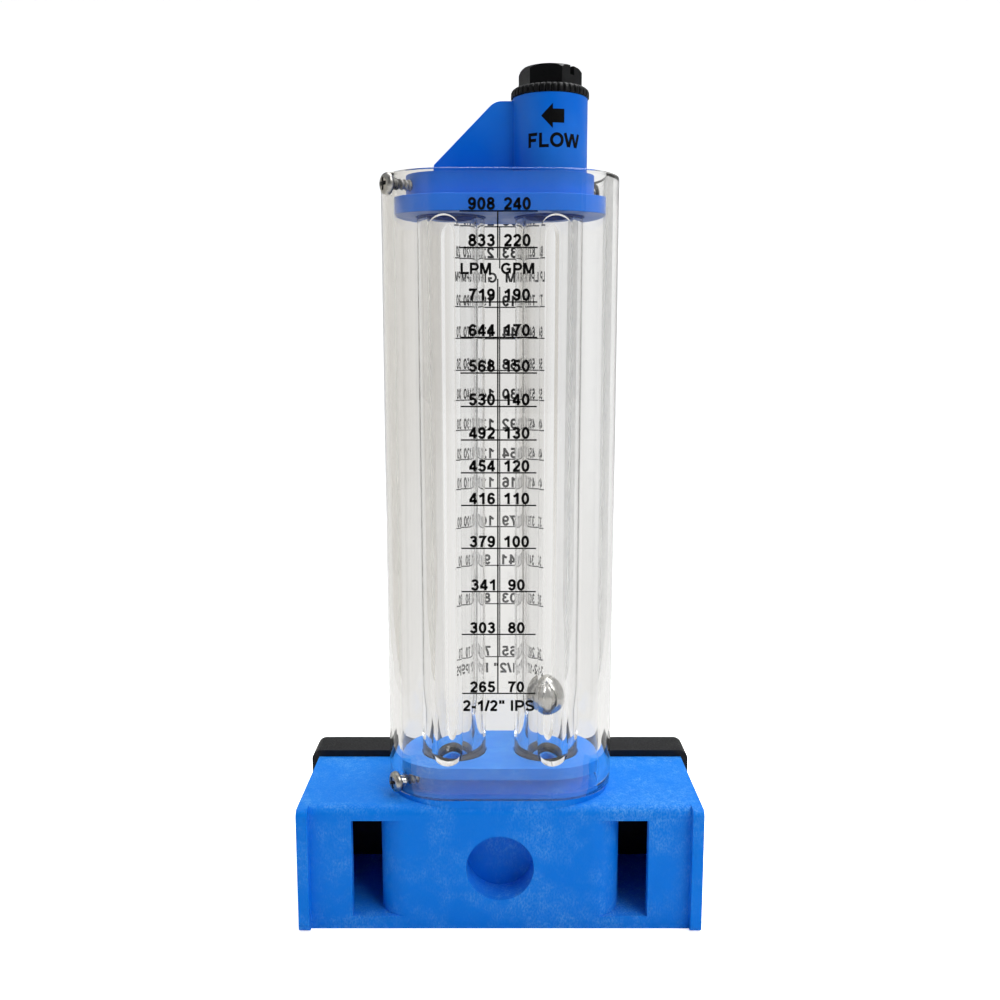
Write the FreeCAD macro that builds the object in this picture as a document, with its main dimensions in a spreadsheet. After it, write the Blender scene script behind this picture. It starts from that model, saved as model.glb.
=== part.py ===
import FreeCAD, Part
import os

import Sketcher

# Ball rotameter for a pipe: a blue saddle base with a clear two-tube body on it,
# a blue manifold with a cleaning plug on top, and a rubber pad and pitot probe behind.
# Every piece is drawn in its own frame: X runs along the pipe, +Z is up, the scale
# faces -Y, and X = 0, Y = 0 is the middle of the clear body.

doc = FreeCAD.newDocument("rotameter")
sheet = doc.addObject("Spreadsheet::Sheet", "sizes")

# name, millimetres, degrees or a count, what it is
SIZES = [
    ("base_width", 140, "base, along the pipe"),
    ("base_height", 44.8, "base, bottom to top face"),
    ("base_edge_radius", 3.2, "rounded top front edge of the base"),
    ("end_flange", 3.8, "thickness of the end flanges of the base"),
    ("end_flange_lip", 3, "end flanges, forward of the front face"),
    ("end_flange_radius", 2.4, "rounded front corners of the end flanges"),
    ("front_panel", 4.2, "front panel over the strap chambers"),
    ("side_wall", 4, "end walls outside the strap chambers"),
    ("window_reach", 51.5, "outer edge of the strap windows from the middle"),
    ("window_height", 35.4, "strap windows and chambers"),
    ("window_bottom", 4.5, "floor under the strap chambers"),
    ("column_width", 84, "solid middle column of the base"),
    ("column_radius", 10, "rounded front corners of the column"),
    ("recess_width", 23.6, "blind round recess in the front"),
    ("recess_depth", 11, "blind round recess in the front"),
    ("probe_height", 22.4, "recess, passages and pitot probe above the bottom"),
    ("plinth_height", 2, "step on the base under the clear body"),
    ("plinth_inset", 1, "plinth edge inside the edge of the clear body"),
    ("lower_neck", 6.7, "neck of the lower plug above the plinth"),
    ("lower_flange", 4.1, "flange of the lower plug"),
    ("neck_inset", 4, "plug necks inside the edge of their flanges"),
    ("riser_width", 8, "upright water passages in the base"),
    ("duct_width", 6, "level water passage to the probe"),
    ("body_width", 80, "clear body, overall"),
    ("body_depth", 45, "clear body and base, front to back"),
    ("body_height", 211, "clear body, overall"),
    ("body_wall", 4.3, "outer wall of the clear body"),
    ("plug_gap", 0.1, "between the plug flanges and the clear body"),
    ("tube_spacing", 33.2, "between the axes of the two tubes"),
    ("tube_width", 22.9, "outside of each tube"),
    ("tube_bore", 14.8, "inside of each tube at the ball seat"),
    ("tube_bore_top", 16.2, "inside of each tube at the top"),
    ("inlet_bore", 11.5, "inside of each tube below the ball seat"),
    ("web_width", 8.7, "webs from the tubes to the front and back walls"),
    ("top_flange", 5.6, "tube plate under the manifold"),
    ("top_neck", 7.4, "neck of the manifold above the tube plate"),
    ("manifold_roof", 2, "manifold wall over the crossover passage"),
    ("crossover_width", 14, "crossover passage from tube to tube"),
    ("tower_width", 25.1, "tower for the cleaning plug"),
    ("tower_height", 25, "tower above the neck of the manifold"),
    ("tower_bore", 20.6, "threaded bore of the tower"),
    ("tower_bore_depth", 17, "threaded bore of the tower"),
    ("gusset_thickness", 6, "rib between the tower and the neck"),
    ("gusset_reach", 38.7, "rib, from the tower axis to its foot"),
    ("gusset_foot", 3.8, "upright foot of the rib"),
    ("gusset_drop", 0.8, "top of the rib below the tower mouth"),
    ("gusset_crown", 5.5, "rounded crown of the rib"),
    ("shoulder_width", 26, "knurled ring of the cleaning plug"),
    ("shoulder_height", 3, "knurled ring of the cleaning plug"),
    ("shoulder_radius", 1.5, "rounded top of the knurled ring"),
    ("knurl_count", 40, "grooves around the knurled ring"),
    ("knurl_width", 0.9, "grooves around the knurled ring"),
    ("grip_width", 21.2, "hexagon grip of the cleaning plug, across its corners"),
    ("grip_height", 6.5, "hexagon grip above the knurled ring"),
    ("grip_chamfer", 1.2, "sloped top corners of the grip"),
    ("grip_turn", 11, "grip turned from facing the front, in degrees"),
    ("slot_width", 2, "coin slot across the grip"),
    ("slot_depth", 3, "coin slot across the grip"),
    ("plug_seat_gap", 0.2, "under the knurled ring when the plug is closed"),
    ("thread_gap", 0.1, "around the threaded shank of the plug"),
    ("shank_length", 13, "threaded shank of the cleaning plug"),
    ("ring_drop", 1.2, "ring groove below the knurled ring"),
    ("stem_width", 7, "stem of the plug, the upper stop of the ball"),
    ("stem_gap", 1, "between the stem and the highest ball"),
    ("ball_width", 14.29, "ball float"),
    ("ball_rest", 79.3, "middle of the resting ball above the bottom"),
    ("ball_travel", 165, "ball, from its seat to the stem"),
    ("seat_gap", 0.15, "between the resting ball and its seat"),
    ("ring_section", 2, "section of the sealing rings"),
    ("ring_gap", 0.05, "around the ring of the cleaning plug"),
    ("ring_seat_depth", 1.6, "ring seats in the lower flange and the tube plate"),
    ("ring_seat_gap", 0.3, "ring seats around the tubes"),
    ("screw_angle", 33, "body screws, turned from the pipe direction, in degrees"),
    ("screw_head_width", 7.2, "pan head of the body screws"),
    ("screw_head_height", 2.4, "pan head of the body screws"),
    ("screw_head_side", 0.8, "upright side of the pan head"),
    ("screw_head_flat", 3.6, "flat top of the pan head"),
    ("screw_head_crown", 2.6, "radius from the side of the head to its flat"),
    ("screw_width", 3.6, "shank of the body screws"),
    ("screw_length", 14, "body screws under the head"),
    ("screw_point", 1.5, "tapered end of the body screws"),
    ("screw_tip", 1.8, "flat tip of the body screws"),
    ("screw_gap", 0.05, "around the shanks of the body screws"),
    ("pad_width", 145.6, "saddle pad, along the pipe"),
    ("pad_height", 47, "saddle pad"),
    ("pad_bottom", 0.3, "saddle pad above the bottom of the base"),
    ("pad_thickness", 14, "saddle pad at its top and bottom edges"),
    ("pad_middle", 5.4, "saddle pad behind the probe"),
    ("pad_radius", 3.5, "rounded corners of the saddle pad"),
    ("pipe_width", 73, "outside of the pipe that the saddle fits"),
    ("probe_width", 11, "free end of the pitot probe"),
    ("root_width", 12, "root of the probe, in its socket and seal"),
    ("root_proud", 1, "root of the probe beyond its seal"),
    ("probe_past_axis", 3, "probe tip beyond the axis of the pipe"),
    ("probe_tip_radius", 3, "rounded tip of the probe"),
    ("probe_socket", 26, "probe socket, from the back of the base"),
    ("probe_gap", 0.05, "around the probe in its socket"),
    ("channel_width", 3, "channels along the probe"),
    ("port_width", 2.4, "ports across the probe"),
    ("channel_spacing", 5, "between the two channels of the probe"),
    ("channel_wall", 1.5, "probe wall at the ends of its channels"),
    ("port_setback", 5.5, "probe ports behind its tip"),
    ("seal_width", 17, "probe seal"),
    ("seal_proud", 1.2, "probe seal beyond the pad"),
]

# Places that several pieces share, each worked out from the sizes above.
FRONT = "(-sizes.body_depth / 2)"
BACK = "(sizes.body_depth / 2)"
ROW_SHIFT = "((sizes.end_flange_lip - sizes.pad_middle - sizes.pipe_width / 2 - sizes.probe_past_axis) / 2)"
TUBE_X = "(sizes.tube_spacing / 2)"
ARC_X = "((sizes.body_width - sizes.body_depth) / 2)"
BODY_BOTTOM = "(sizes.base_height + sizes.plinth_height)"
LOWER_PLUG_TOP = f"({BODY_BOTTOM} + sizes.lower_neck + sizes.lower_flange)"
BODY_TOP = f"({BODY_BOTTOM} + sizes.body_height)"
RING_STAND = "(sizes.ring_section - sizes.ring_seat_depth)"
TUBE_BOTTOM = f"({LOWER_PLUG_TOP} + {RING_STAND})"
PLATE_BOTTOM = f"({BODY_TOP} - sizes.top_neck - sizes.top_flange)"
TUBE_TOP = f"({PLATE_BOTTOM} - {RING_STAND})"
TOWER_MOUTH = f"({BODY_TOP} + sizes.tower_height)"
BALL_SEAT = (
    "(sizes.ball_rest - sizes.seat_gap"
    " - sqrt(sizes.ball_width * sizes.ball_width - sizes.inlet_bore * sizes.inlet_bore) / 2)"
)
FLANGE_WIDTH = "(sizes.body_width - 2 * sizes.body_wall - 2 * sizes.plug_gap)"
FLANGE_DEPTH = "(sizes.body_depth - 2 * sizes.body_wall - 2 * sizes.plug_gap)"
NECK_WIDTH = f"({FLANGE_WIDTH} - 2 * sizes.neck_inset)"
NECK_DEPTH = f"({FLANGE_DEPTH} - 2 * sizes.neck_inset)"
RING_SEAT_WIDTH = "(sizes.tube_width + 2 * sizes.ring_seat_gap)"
SCREW_HOLE_WIDTH = "(sizes.screw_width + 2 * sizes.screw_gap)"
LOWER_SCREW_Z = f"({BODY_BOTTOM} + sizes.lower_neck / 2)"
UPPER_SCREW_Z = f"({BODY_TOP} - sizes.top_neck / 2)"

parts = []


def fill_sheet():
    for row, (name, value, meaning) in enumerate(SIZES, start=1):
        sheet.set(f"A{row}", meaning)
        sheet.set(f"B{row}", str(value))
        sheet.setAlias(f"B{row}", name)
    doc.recompute()


def value(expression):
    return float(sheet.evalExpression(expression))


def place(piece, x="0", y="0", z="0"):
    """Keep a finished sub-part and put it in the frame of the whole meter."""
    parts.append(piece)
    piece.setExpression("Placement.Base.x", x)
    piece.setExpression("Placement.Base.y", f"{ROW_SHIFT} + {y}")
    piece.setExpression("Placement.Base.z", z)


def new_body(name):
    body = doc.addObject("PartDesign::Body", name)
    body.Label = name
    return body


def origin_part(body, role):
    return next(item for item in body.Origin.OriginFeatures if item.Role == role)


def new_sketch(body, name, role, height="0"):
    sketch = body.newObject("Sketcher::SketchObject", name)
    sketch.AttachmentSupport = [(origin_part(body, role), "")]
    sketch.MapMode = "FlatFace"
    sketch.setExpression("AttachmentOffset.Base.z", height)
    return sketch


def fix(sketch, kind, *elements, size):
    """Add one dimension to a sketch and bind it to its expression."""
    index = sketch.addConstraint(Sketcher.Constraint(kind, *elements, value(size)))
    sketch.setExpression(f"Constraints[{index}]", size)


def arc_between(first, last, radius, turn):
    """Arc shorter than a half circle; turn is 1 for anticlockwise and -1 for clockwise."""
    chord = last - first
    across = FreeCAD.Vector(-chord.y, chord.x, 0).normalize()
    rise = (radius ** 2 - (chord.Length / 2) ** 2) ** 0.5
    centre = (first + last) * 0.5 + across * (rise * turn)
    circle = Part.Circle(centre, FreeCAD.Vector(0, 0, 1), radius)
    ends = (first, last) if turn > 0 else (last, first)
    return Part.ArcOfCircle(circle, *(circle.parameter(point) for point in ends))


def trace(sketch, corners):
    """Draw a closed outline of (x, y) corners; (x, y, radius, turn) starts an arc to the next."""
    points = [FreeCAD.Vector(value(corner[0]), value(corner[1]), 0) for corner in corners]
    ends = []
    for index, corner in enumerate(corners):
        first, last = points[index], points[(index + 1) % len(points)]
        if len(corner) == 2:
            ends.append((sketch.addGeometry(Part.LineSegment(first, last)), 1, 2))
            continue
        radius, turn = corner[2:]
        edge = sketch.addGeometry(arc_between(first, last, value(radius), turn))
        ends.append((edge, 1, 2) if turn > 0 else (edge, 2, 1))
    for index, (edge, start, end) in enumerate(ends):
        following, following_start = ends[(index + 1) % len(ends)][:2]
        sketch.addConstraint(Sketcher.Constraint("Coincident", edge, end, following, following_start))
    for (edge, start, end), corner in zip(ends, corners):
        fix(sketch, "DistanceX", -1, 1, edge, start, size=corner[0])
        fix(sketch, "DistanceY", -1, 1, edge, start, size=corner[1])
        if len(corner) == 4:
            fix(sketch, "Radius", edge, size=corner[2])


def trace_circle(sketch, x, y, width):
    centre = FreeCAD.Vector(value(x), value(y), 0)
    circle = Part.Circle(centre, FreeCAD.Vector(0, 0, 1), value(width) / 2)
    edge = sketch.addGeometry(circle)
    fix(sketch, "DistanceX", -1, 1, edge, 3, size=x)
    fix(sketch, "DistanceY", -1, 1, edge, 3, size=y)
    fix(sketch, "Diameter", edge, size=width)


def trace_obround(sketch, width, depth):
    """Draw an outline with two straight sides along X and two round ends, about the origin."""
    half_straight = f"(({width} - {depth}) / 2)"
    reach = value(half_straight)
    radius = value(depth) / 2
    normal = FreeCAD.Vector(0, 0, 1)
    quarter = 1.5707963267948966
    right = sketch.addGeometry(Part.ArcOfCircle(
        Part.Circle(FreeCAD.Vector(reach, 0, 0), normal, radius), -quarter, quarter))
    back = sketch.addGeometry(Part.LineSegment(
        FreeCAD.Vector(reach, radius, 0), FreeCAD.Vector(-reach, radius, 0)))
    left = sketch.addGeometry(Part.ArcOfCircle(
        Part.Circle(FreeCAD.Vector(-reach, 0, 0), normal, radius), quarter, 3 * quarter))
    front = sketch.addGeometry(Part.LineSegment(
        FreeCAD.Vector(-reach, -radius, 0), FreeCAD.Vector(reach, -radius, 0)))
    for edge, following in ((right, back), (back, left), (left, front), (front, right)):
        sketch.addConstraint(Sketcher.Constraint("Tangent", edge, 2, following, 1))
    sketch.addConstraint(Sketcher.Constraint("Equal", right, left))
    sketch.addConstraint(Sketcher.Constraint("PointOnObject", right, 3, -1))
    sketch.addConstraint(Sketcher.Constraint("PointOnObject", left, 3, -1))
    fix(sketch, "DistanceX", -1, 1, right, 3, size=half_straight)
    fix(sketch, "DistanceX", left, 3, -1, 1, size=half_straight)
    fix(sketch, "Diameter", right, size=depth)


def extrude(kind, body, sketch, length, midplane=False, reverse=False):
    feature = body.newObject(f"PartDesign::{kind}", f"{sketch.Name}_{kind.lower()}")
    feature.Profile = sketch
    feature.setExpression("Length", length)
    feature.Midplane = midplane
    feature.Reversed = reverse
    sketch.Visibility = False
    return feature


def pad(body, sketch, length, **options):
    return extrude("Pad", body, sketch, length, **options)


def pocket(body, sketch, length, **options):
    """Cut a sketch into the body, and fail if it points away from the solid."""
    doc.recompute()
    before = body.Shape.Volume
    feature = extrude("Pocket", body, sketch, length, **options)
    doc.recompute()
    if body.Shape.Volume >= before:
        raise RuntimeError(f"{feature.Label} cuts nothing")
    return feature


def turn(kind, body, sketch, axis):
    """Revolve a sketch about an origin axis; kind is Revolution or Groove."""
    feature = body.newObject(f"PartDesign::{kind}", f"{sketch.Name}_{kind.lower()}")
    feature.Profile = sketch
    feature.ReferenceAxis = (origin_part(body, axis), [""])
    feature.Angle = 360
    sketch.Visibility = False
    return feature


def mirror(body, name, features):
    """Repeat features on the other side of X = 0."""
    copy = body.newObject("PartDesign::Mirrored", name)
    copy.Originals = features
    copy.MirrorPlane = (origin_part(body, "YZ_Plane"), [""])
    body.Tip = copy


def bore_up(body, name, x, z, low_width, high_width, length):
    """Cut a straight or tapered round hole upward from height z."""
    hole = body.newObject("PartDesign::SubtractiveCone", name)
    hole.AttachmentSupport = [(origin_part(body, "XY_Plane"), "")]
    hole.MapMode = "FlatFace"
    hole.setExpression("AttachmentOffset.Base.x", x)
    hole.setExpression("AttachmentOffset.Base.z", z)
    hole.setExpression("Radius1", f"{low_width} / 2")
    hole.setExpression("Radius2", f"{high_width} / 2")
    hole.setExpression("Height", length)


def bore_level(body, name, width, x, z, angle, start, length):
    """Cut a level round hole from (x, 0, z), between two distances along its direction."""
    hole = body.newObject("PartDesign::SubtractiveCylinder", name)
    hole.AttachmentSupport = [(origin_part(body, "YZ_Plane"), "")]
    hole.MapMode = "FlatFace"
    tilt = FreeCAD.Rotation(FreeCAD.Vector(0, 1, 0), value(angle))
    hole.AttachmentOffset = FreeCAD.Placement(FreeCAD.Vector(), tilt)
    hole.setExpression("AttachmentOffset.Rotation.Angle", angle)
    hole.setExpression("AttachmentOffset.Base.x", f"{start} * sin({angle})")
    hole.setExpression("AttachmentOffset.Base.y", z)
    hole.setExpression("AttachmentOffset.Base.z", f"{x} + {start} * cos({angle})")
    hole.setExpression("Radius", f"{width} / 2")
    hole.setExpression("Height", length)


# The body screws stand at the front left and the rear right: name, side of X = 0, direction.
SCREW_PLACES = [
    ("front", -1, "(180 + sizes.screw_angle)"),
    ("rear", 1, "sizes.screw_angle"),
]


def bore_for_screws(body, z, start, length):
    for name, side, angle in SCREW_PLACES:
        bore_level(body, f"screw_hole_{name}", SCREW_HOLE_WIDTH, f"{side} * {ARC_X}", z, angle, start, length)


def make_base_housing():
    body = new_body("base_housing")
    radius = "sizes.base_edge_radius"
    top = "sizes.base_height"

    block = new_sketch(body, "block_side", "YZ_Plane")
    trace(block, [
        (FRONT, "0"),
        (BACK, "0"),
        (BACK, top),
        (f"{FRONT} + {radius}", top, radius, 1),
        (FRONT, f"{top} - {radius}"),
    ])
    pad(body, block, "sizes.base_width", midplane=True)

    lip = f"({FRONT} - sizes.end_flange_lip)"
    corner = "sizes.end_flange_radius"
    flange = new_sketch(body, "flange_side", "YZ_Plane", "sizes.base_width / 2 - sizes.end_flange")
    trace(flange, [
        (f"{lip} + {corner}", "0"),
        (f"{FRONT} + {radius}", "0"),
        (f"{FRONT} + {radius}", top),
        (f"{lip} + {corner}", top, corner, 1),
        (lip, f"{top} - {corner}"),
        (lip, corner, corner, 1),
    ])
    mirror(body, "flange_mirror", [pad(body, flange, "sizes.end_flange")])

    plinth = new_sketch(body, "plinth_plan", "XY_Plane", f"{top} - {radius}")
    trace_obround(plinth, "(sizes.body_width - 2 * sizes.plinth_inset)",
                  "(sizes.body_depth - 2 * sizes.plinth_inset)")
    pad(body, plinth, f"{radius} + sizes.plinth_height")
    neck = new_sketch(body, "neck_plan", "XY_Plane", BODY_BOTTOM)
    trace_obround(neck, NECK_WIDTH, NECK_DEPTH)
    pad(body, neck, "sizes.lower_neck")
    plug = new_sketch(body, "plug_plan", "XY_Plane", f"{BODY_BOTTOM} + sizes.lower_neck")
    trace_obround(plug, FLANGE_WIDTH, FLANGE_DEPTH)
    pad(body, plug, "sizes.lower_flange")

    column = "(sizes.column_width / 2)"
    rounding = "sizes.column_radius"
    inside = "(sizes.base_width / 2 - sizes.side_wall)"
    panel = f"({FRONT} + sizes.front_panel)"
    chamber = new_sketch(body, "chamber_plan", "XY_Plane", "sizes.window_bottom + sizes.window_height")
    trace(chamber, [
        (f"{column} - {rounding}", lip),
        ("sizes.window_reach", lip),
        ("sizes.window_reach", panel),
        (inside, panel),
        (inside, BACK),
        (column, BACK),
        (column, f"{FRONT} + {rounding}", rounding, -1),
        (f"{column} - {rounding}", FRONT),
    ])
    mirror(body, "chamber_mirror", [pocket(body, chamber, "sizes.window_height")])

    recess = new_sketch(body, "recess_front", "XZ_Plane", f"-{FRONT}")
    trace_circle(recess, "0", "sizes.probe_height", "sizes.recess_width")
    pocket(body, recess, "sizes.recess_depth")
    socket = new_sketch(body, "socket_back", "XZ_Plane", f"-{BACK}")
    trace_circle(socket, "0", "sizes.probe_height", "(sizes.root_width + 2 * sizes.probe_gap)")
    pocket(body, socket, "sizes.probe_socket", reverse=True)
    duct = new_sketch(body, "duct_side", "YZ_Plane")
    trace_circle(duct, "0", "sizes.probe_height", "sizes.duct_width")
    pocket(body, duct, "sizes.tube_spacing", midplane=True)

    riser = "(sizes.probe_height - sizes.riser_width / 2)"
    seat = f"({LOWER_PLUG_TOP} - sizes.ring_seat_depth)"
    for name, side in (("left", -1), ("right", 1)):
        x = f"{side} * {TUBE_X}"
        bore_up(body, f"riser_{name}", x, riser, "sizes.riser_width", "sizes.riser_width",
                f"{LOWER_PLUG_TOP} - {riser}")
        bore_up(body, f"ring_seat_{name}", x, seat, RING_SEAT_WIDTH, RING_SEAT_WIDTH, "sizes.ring_seat_depth")
    bore_for_screws(body, LOWER_SCREW_Z, "(sizes.body_depth / 2 - sizes.screw_length)", "sizes.screw_length")
    place(body)


def make_clear_body():
    body = new_body("clear_body")
    outside = new_sketch(body, "wall_outside", "XY_Plane")
    trace_obround(outside, "sizes.body_width", "sizes.body_depth")
    pad(body, outside, "sizes.body_height")
    inside = new_sketch(body, "wall_inside", "XY_Plane", "sizes.body_height")
    trace_obround(inside, "(sizes.body_width - 2 * sizes.body_wall)", "(sizes.body_depth - 2 * sizes.body_wall)")
    pocket(body, inside, "sizes.body_height")

    low = f"({TUBE_BOTTOM} - {BODY_BOTTOM})"
    length = f"({TUBE_TOP} - {TUBE_BOTTOM})"
    web = new_sketch(body, "web_front", "XZ_Plane")
    half = "(sizes.web_width / 2)"
    trace(web, [
        (f"{TUBE_X} - {half}", f"{low} + {half}", half, 1),
        (TUBE_X, low, half, 1),
        (f"{TUBE_X} + {half}", f"{low} + {half}"),
        (f"{TUBE_X} + {half}", f"{low} + {length} - {half}", half, 1),
        (TUBE_X, f"{low} + {length}", half, 1),
        (f"{TUBE_X} - {half}", f"{low} + {length} - {half}"),
    ])
    web_pad = pad(body, web, "sizes.body_depth - sizes.body_wall", midplane=True)
    tube = new_sketch(body, "tube_plan", "XY_Plane", low)
    trace_circle(tube, TUBE_X, "0", "sizes.tube_width")
    mirror(body, "tube_mirror", [web_pad, pad(body, tube, length)])

    seat = f"({BALL_SEAT} - {BODY_BOTTOM})"
    for name, side in (("left", -1), ("right", 1)):
        x = f"{side} * {TUBE_X}"
        bore_up(body, f"inlet_{name}", x, low, "sizes.inlet_bore", "sizes.inlet_bore", f"{seat} - {low}")
        bore_up(body, f"bore_{name}", x, seat, "sizes.tube_bore", "sizes.tube_bore_top",
                f"{low} + {length} - {seat}")
    for z in (f"({LOWER_SCREW_Z} - {BODY_BOTTOM})", f"({UPPER_SCREW_Z} - {BODY_BOTTOM})"):
        bore_for_screws(body, z, "(sizes.body_depth / 2 - sizes.body_wall - sizes.screw_width / 2)",
                        "(sizes.body_wall + sizes.screw_width)")
    place(body, z=BODY_BOTTOM)


def make_tube_plate():
    body = new_body("tube_plate")
    plan = new_sketch(body, "plate_plan", "XY_Plane")
    trace_obround(plan, FLANGE_WIDTH, FLANGE_DEPTH)
    pad(body, plan, "sizes.top_flange")
    for name, side in (("left", -1), ("right", 1)):
        x = f"{side} * {TUBE_X}"
        bore_up(body, f"port_{name}", x, "0", "sizes.tube_bore_top", "sizes.tube_bore_top", "sizes.top_flange")
        bore_up(body, f"ring_seat_{name}", x, "0", RING_SEAT_WIDTH, RING_SEAT_WIDTH, "sizes.ring_seat_depth")
    place(body, z=PLATE_BOTTOM)


def make_top_manifold():
    body = new_body("top_manifold")
    neck = new_sketch(body, "neck_plan", "XY_Plane")
    trace_obround(neck, NECK_WIDTH, NECK_DEPTH)
    pad(body, neck, "sizes.top_neck")

    tower = new_sketch(body, "tower_plan", "XY_Plane", "sizes.top_neck")
    trace_circle(tower, TUBE_X, "0", "sizes.tower_width")
    pad(body, tower, "sizes.tower_height")

    foot = f"({TUBE_X} - sizes.gusset_reach)"
    shelf = "(sizes.top_neck + sizes.gusset_foot)"
    crest = "(sizes.top_neck + sizes.tower_height - sizes.gusset_drop)"
    corner = f"({foot} + {crest} - {shelf})"
    crown = "sizes.gusset_crown"
    cut_back = f"({crown} * tan(22.5))"
    gusset = new_sketch(body, "gusset_front", "XZ_Plane")
    trace(gusset, [
        (foot, "sizes.top_neck"),
        (TUBE_X, "sizes.top_neck"),
        (TUBE_X, crest),
        (f"{corner} + {cut_back}", crest, crown, 1),
        (f"{corner} - {cut_back} * cos(45)", f"{crest} - {cut_back} * sin(45)"),
        (foot, shelf),
    ])
    pad(body, gusset, "sizes.gusset_thickness", midplane=True)

    crossover = new_sketch(body, "crossover_plan", "XY_Plane", "sizes.top_neck - sizes.manifold_roof")
    trace_obround(crossover, "(sizes.tube_spacing + sizes.crossover_width)", "sizes.crossover_width")
    pocket(body, crossover, "sizes.top_neck - sizes.manifold_roof")
    threads = "(sizes.top_neck + sizes.tower_height - sizes.tower_bore_depth)"
    bore_up(body, "ball_passage", TUBE_X, "0", "sizes.tube_bore_top", "sizes.tube_bore_top", threads)
    bore_up(body, "threaded_bore", TUBE_X, threads, "sizes.tower_bore", "sizes.tower_bore", "sizes.tower_bore_depth")
    bore_for_screws(body, "sizes.top_neck / 2", "(sizes.body_depth / 2 - sizes.screw_length)", "sizes.screw_length")
    place(body, z=f"{BODY_TOP} - sizes.top_neck")


def make_cleaning_plug():
    body = new_body("cleaning_plug")
    ring = "(sizes.shoulder_width / 2)"
    shank = "(sizes.tower_bore / 2 - sizes.thread_gap)"
    groove = "(sizes.ring_section + 2 * sizes.ring_gap)"
    groove_floor = f"({shank} - sizes.ring_section - sizes.ring_gap)"
    stem = "(sizes.stem_width / 2)"
    stem_end = (
        f"(sizes.ball_rest + sizes.ball_travel + sizes.ball_width / 2 + sizes.stem_gap"
        f" - {TOWER_MOUTH} - sizes.plug_seat_gap)"
    )
    rounding = "sizes.shoulder_radius"
    profile = new_sketch(body, "plug_profile", "XZ_Plane")
    trace(profile, [
        ("0", stem_end),
        (stem, stem_end),
        (stem, "-sizes.shank_length"),
        (shank, "-sizes.shank_length"),
        (shank, f"-sizes.ring_drop - {groove}"),
        (groove_floor, f"-sizes.ring_drop - {groove}"),
        (groove_floor, "-sizes.ring_drop"),
        (shank, "-sizes.ring_drop"),
        (shank, "0"),
        (ring, "0"),
        (ring, f"sizes.shoulder_height - {rounding}", rounding, 1),
        (f"{ring} - {rounding}", "sizes.shoulder_height"),
        ("0", "sizes.shoulder_height"),
    ])
    turn("Revolution", body, profile, "Z_Axis")

    knurl = new_sketch(body, "knurl_plan", "XY_Plane", "sizes.shoulder_height")
    trace_circle(knurl, ring, "0", "sizes.knurl_width")
    knurl_cut = pocket(body, knurl, "sizes.shoulder_height")
    knurls = body.newObject("PartDesign::PolarPattern", "knurls")
    knurls.Originals = [knurl_cut]
    knurls.Axis = (origin_part(body, "Z_Axis"), [""])
    knurls.Angle = 360
    knurls.setExpression("Occurrences", "sizes.knurl_count")
    body.Tip = knurls

    grip = new_sketch(body, "grip_plan", "XY_Plane", "sizes.shoulder_height")
    corners = [f"({60 * step} - sizes.grip_turn)" for step in range(6)]
    trace(grip, [
        (f"sizes.grip_width / 2 * cos({angle})", f"sizes.grip_width / 2 * sin({angle})") for angle in corners
    ])
    pad(body, grip, "sizes.grip_height")
    top = "(sizes.shoulder_height + sizes.grip_height)"
    edge = "(sizes.grip_width / 2)"
    slope = new_sketch(body, "grip_slope", "XZ_Plane")
    trace(slope, [
        (f"{edge} - 2 * sizes.grip_chamfer", top),
        (edge, f"{top} - sizes.grip_chamfer"),
        (f"{edge} + sizes.grip_chamfer", top),
    ])
    turn("Groove", body, slope, "Z_Axis")
    slot = new_sketch(body, "slot_plan", "XY_Plane", top)
    across_facet = "(150 - sizes.grip_turn)"
    turned = FreeCAD.Rotation(FreeCAD.Vector(0, 0, 1), value(across_facet))
    slot.AttachmentOffset = FreeCAD.Placement(FreeCAD.Vector(), turned)
    slot.setExpression("AttachmentOffset.Rotation.Angle", across_facet)
    half = "(sizes.slot_width / 2)"
    trace(slot, [
        (f"-{edge}", f"-{half}"),
        (edge, f"-{half}"),
        (edge, half),
        (f"-{edge}", half),
    ])
    pocket(body, slot, "sizes.slot_depth")
    place(body, x=TUBE_X, z=f"{TOWER_MOUTH} + sizes.plug_seat_gap")


def make_ring(name, width, x, z):
    ring = doc.addObject("Part::Torus", name)
    ring.Label = name
    ring.setExpression("Radius1", f"{width} / 2")
    ring.setExpression("Radius2", "sizes.ring_section / 2")
    place(ring, x=x, z=z)


def make_rings():
    middle = "((sizes.tube_width + sizes.tube_bore_top) / 2)"
    low = f"({TUBE_BOTTOM} - sizes.ring_section / 2)"
    high = f"({TUBE_TOP} + sizes.ring_section / 2)"
    for side_name, side in (("left", -1), ("right", 1)):
        make_ring(f"lower_ring_{side_name}", middle, f"{side} * {TUBE_X}", low)
        make_ring(f"upper_ring_{side_name}", middle, f"{side} * {TUBE_X}", high)
    plug_ring_z = (
        f"({TOWER_MOUTH} + sizes.plug_seat_gap - sizes.ring_drop"
        " - sizes.ring_gap - sizes.ring_section / 2)"
    )
    plug_ring = "(sizes.tower_bore - 2 * sizes.thread_gap - sizes.ring_section)"
    make_ring("plug_ring", plug_ring, TUBE_X, plug_ring_z)


def make_ball_float():
    ball = doc.addObject("Part::Sphere", "ball_float")
    ball.Label = "ball_float"
    ball.setExpression("Radius", "sizes.ball_width / 2")
    place(ball, x=TUBE_X, z="sizes.ball_rest")


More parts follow.
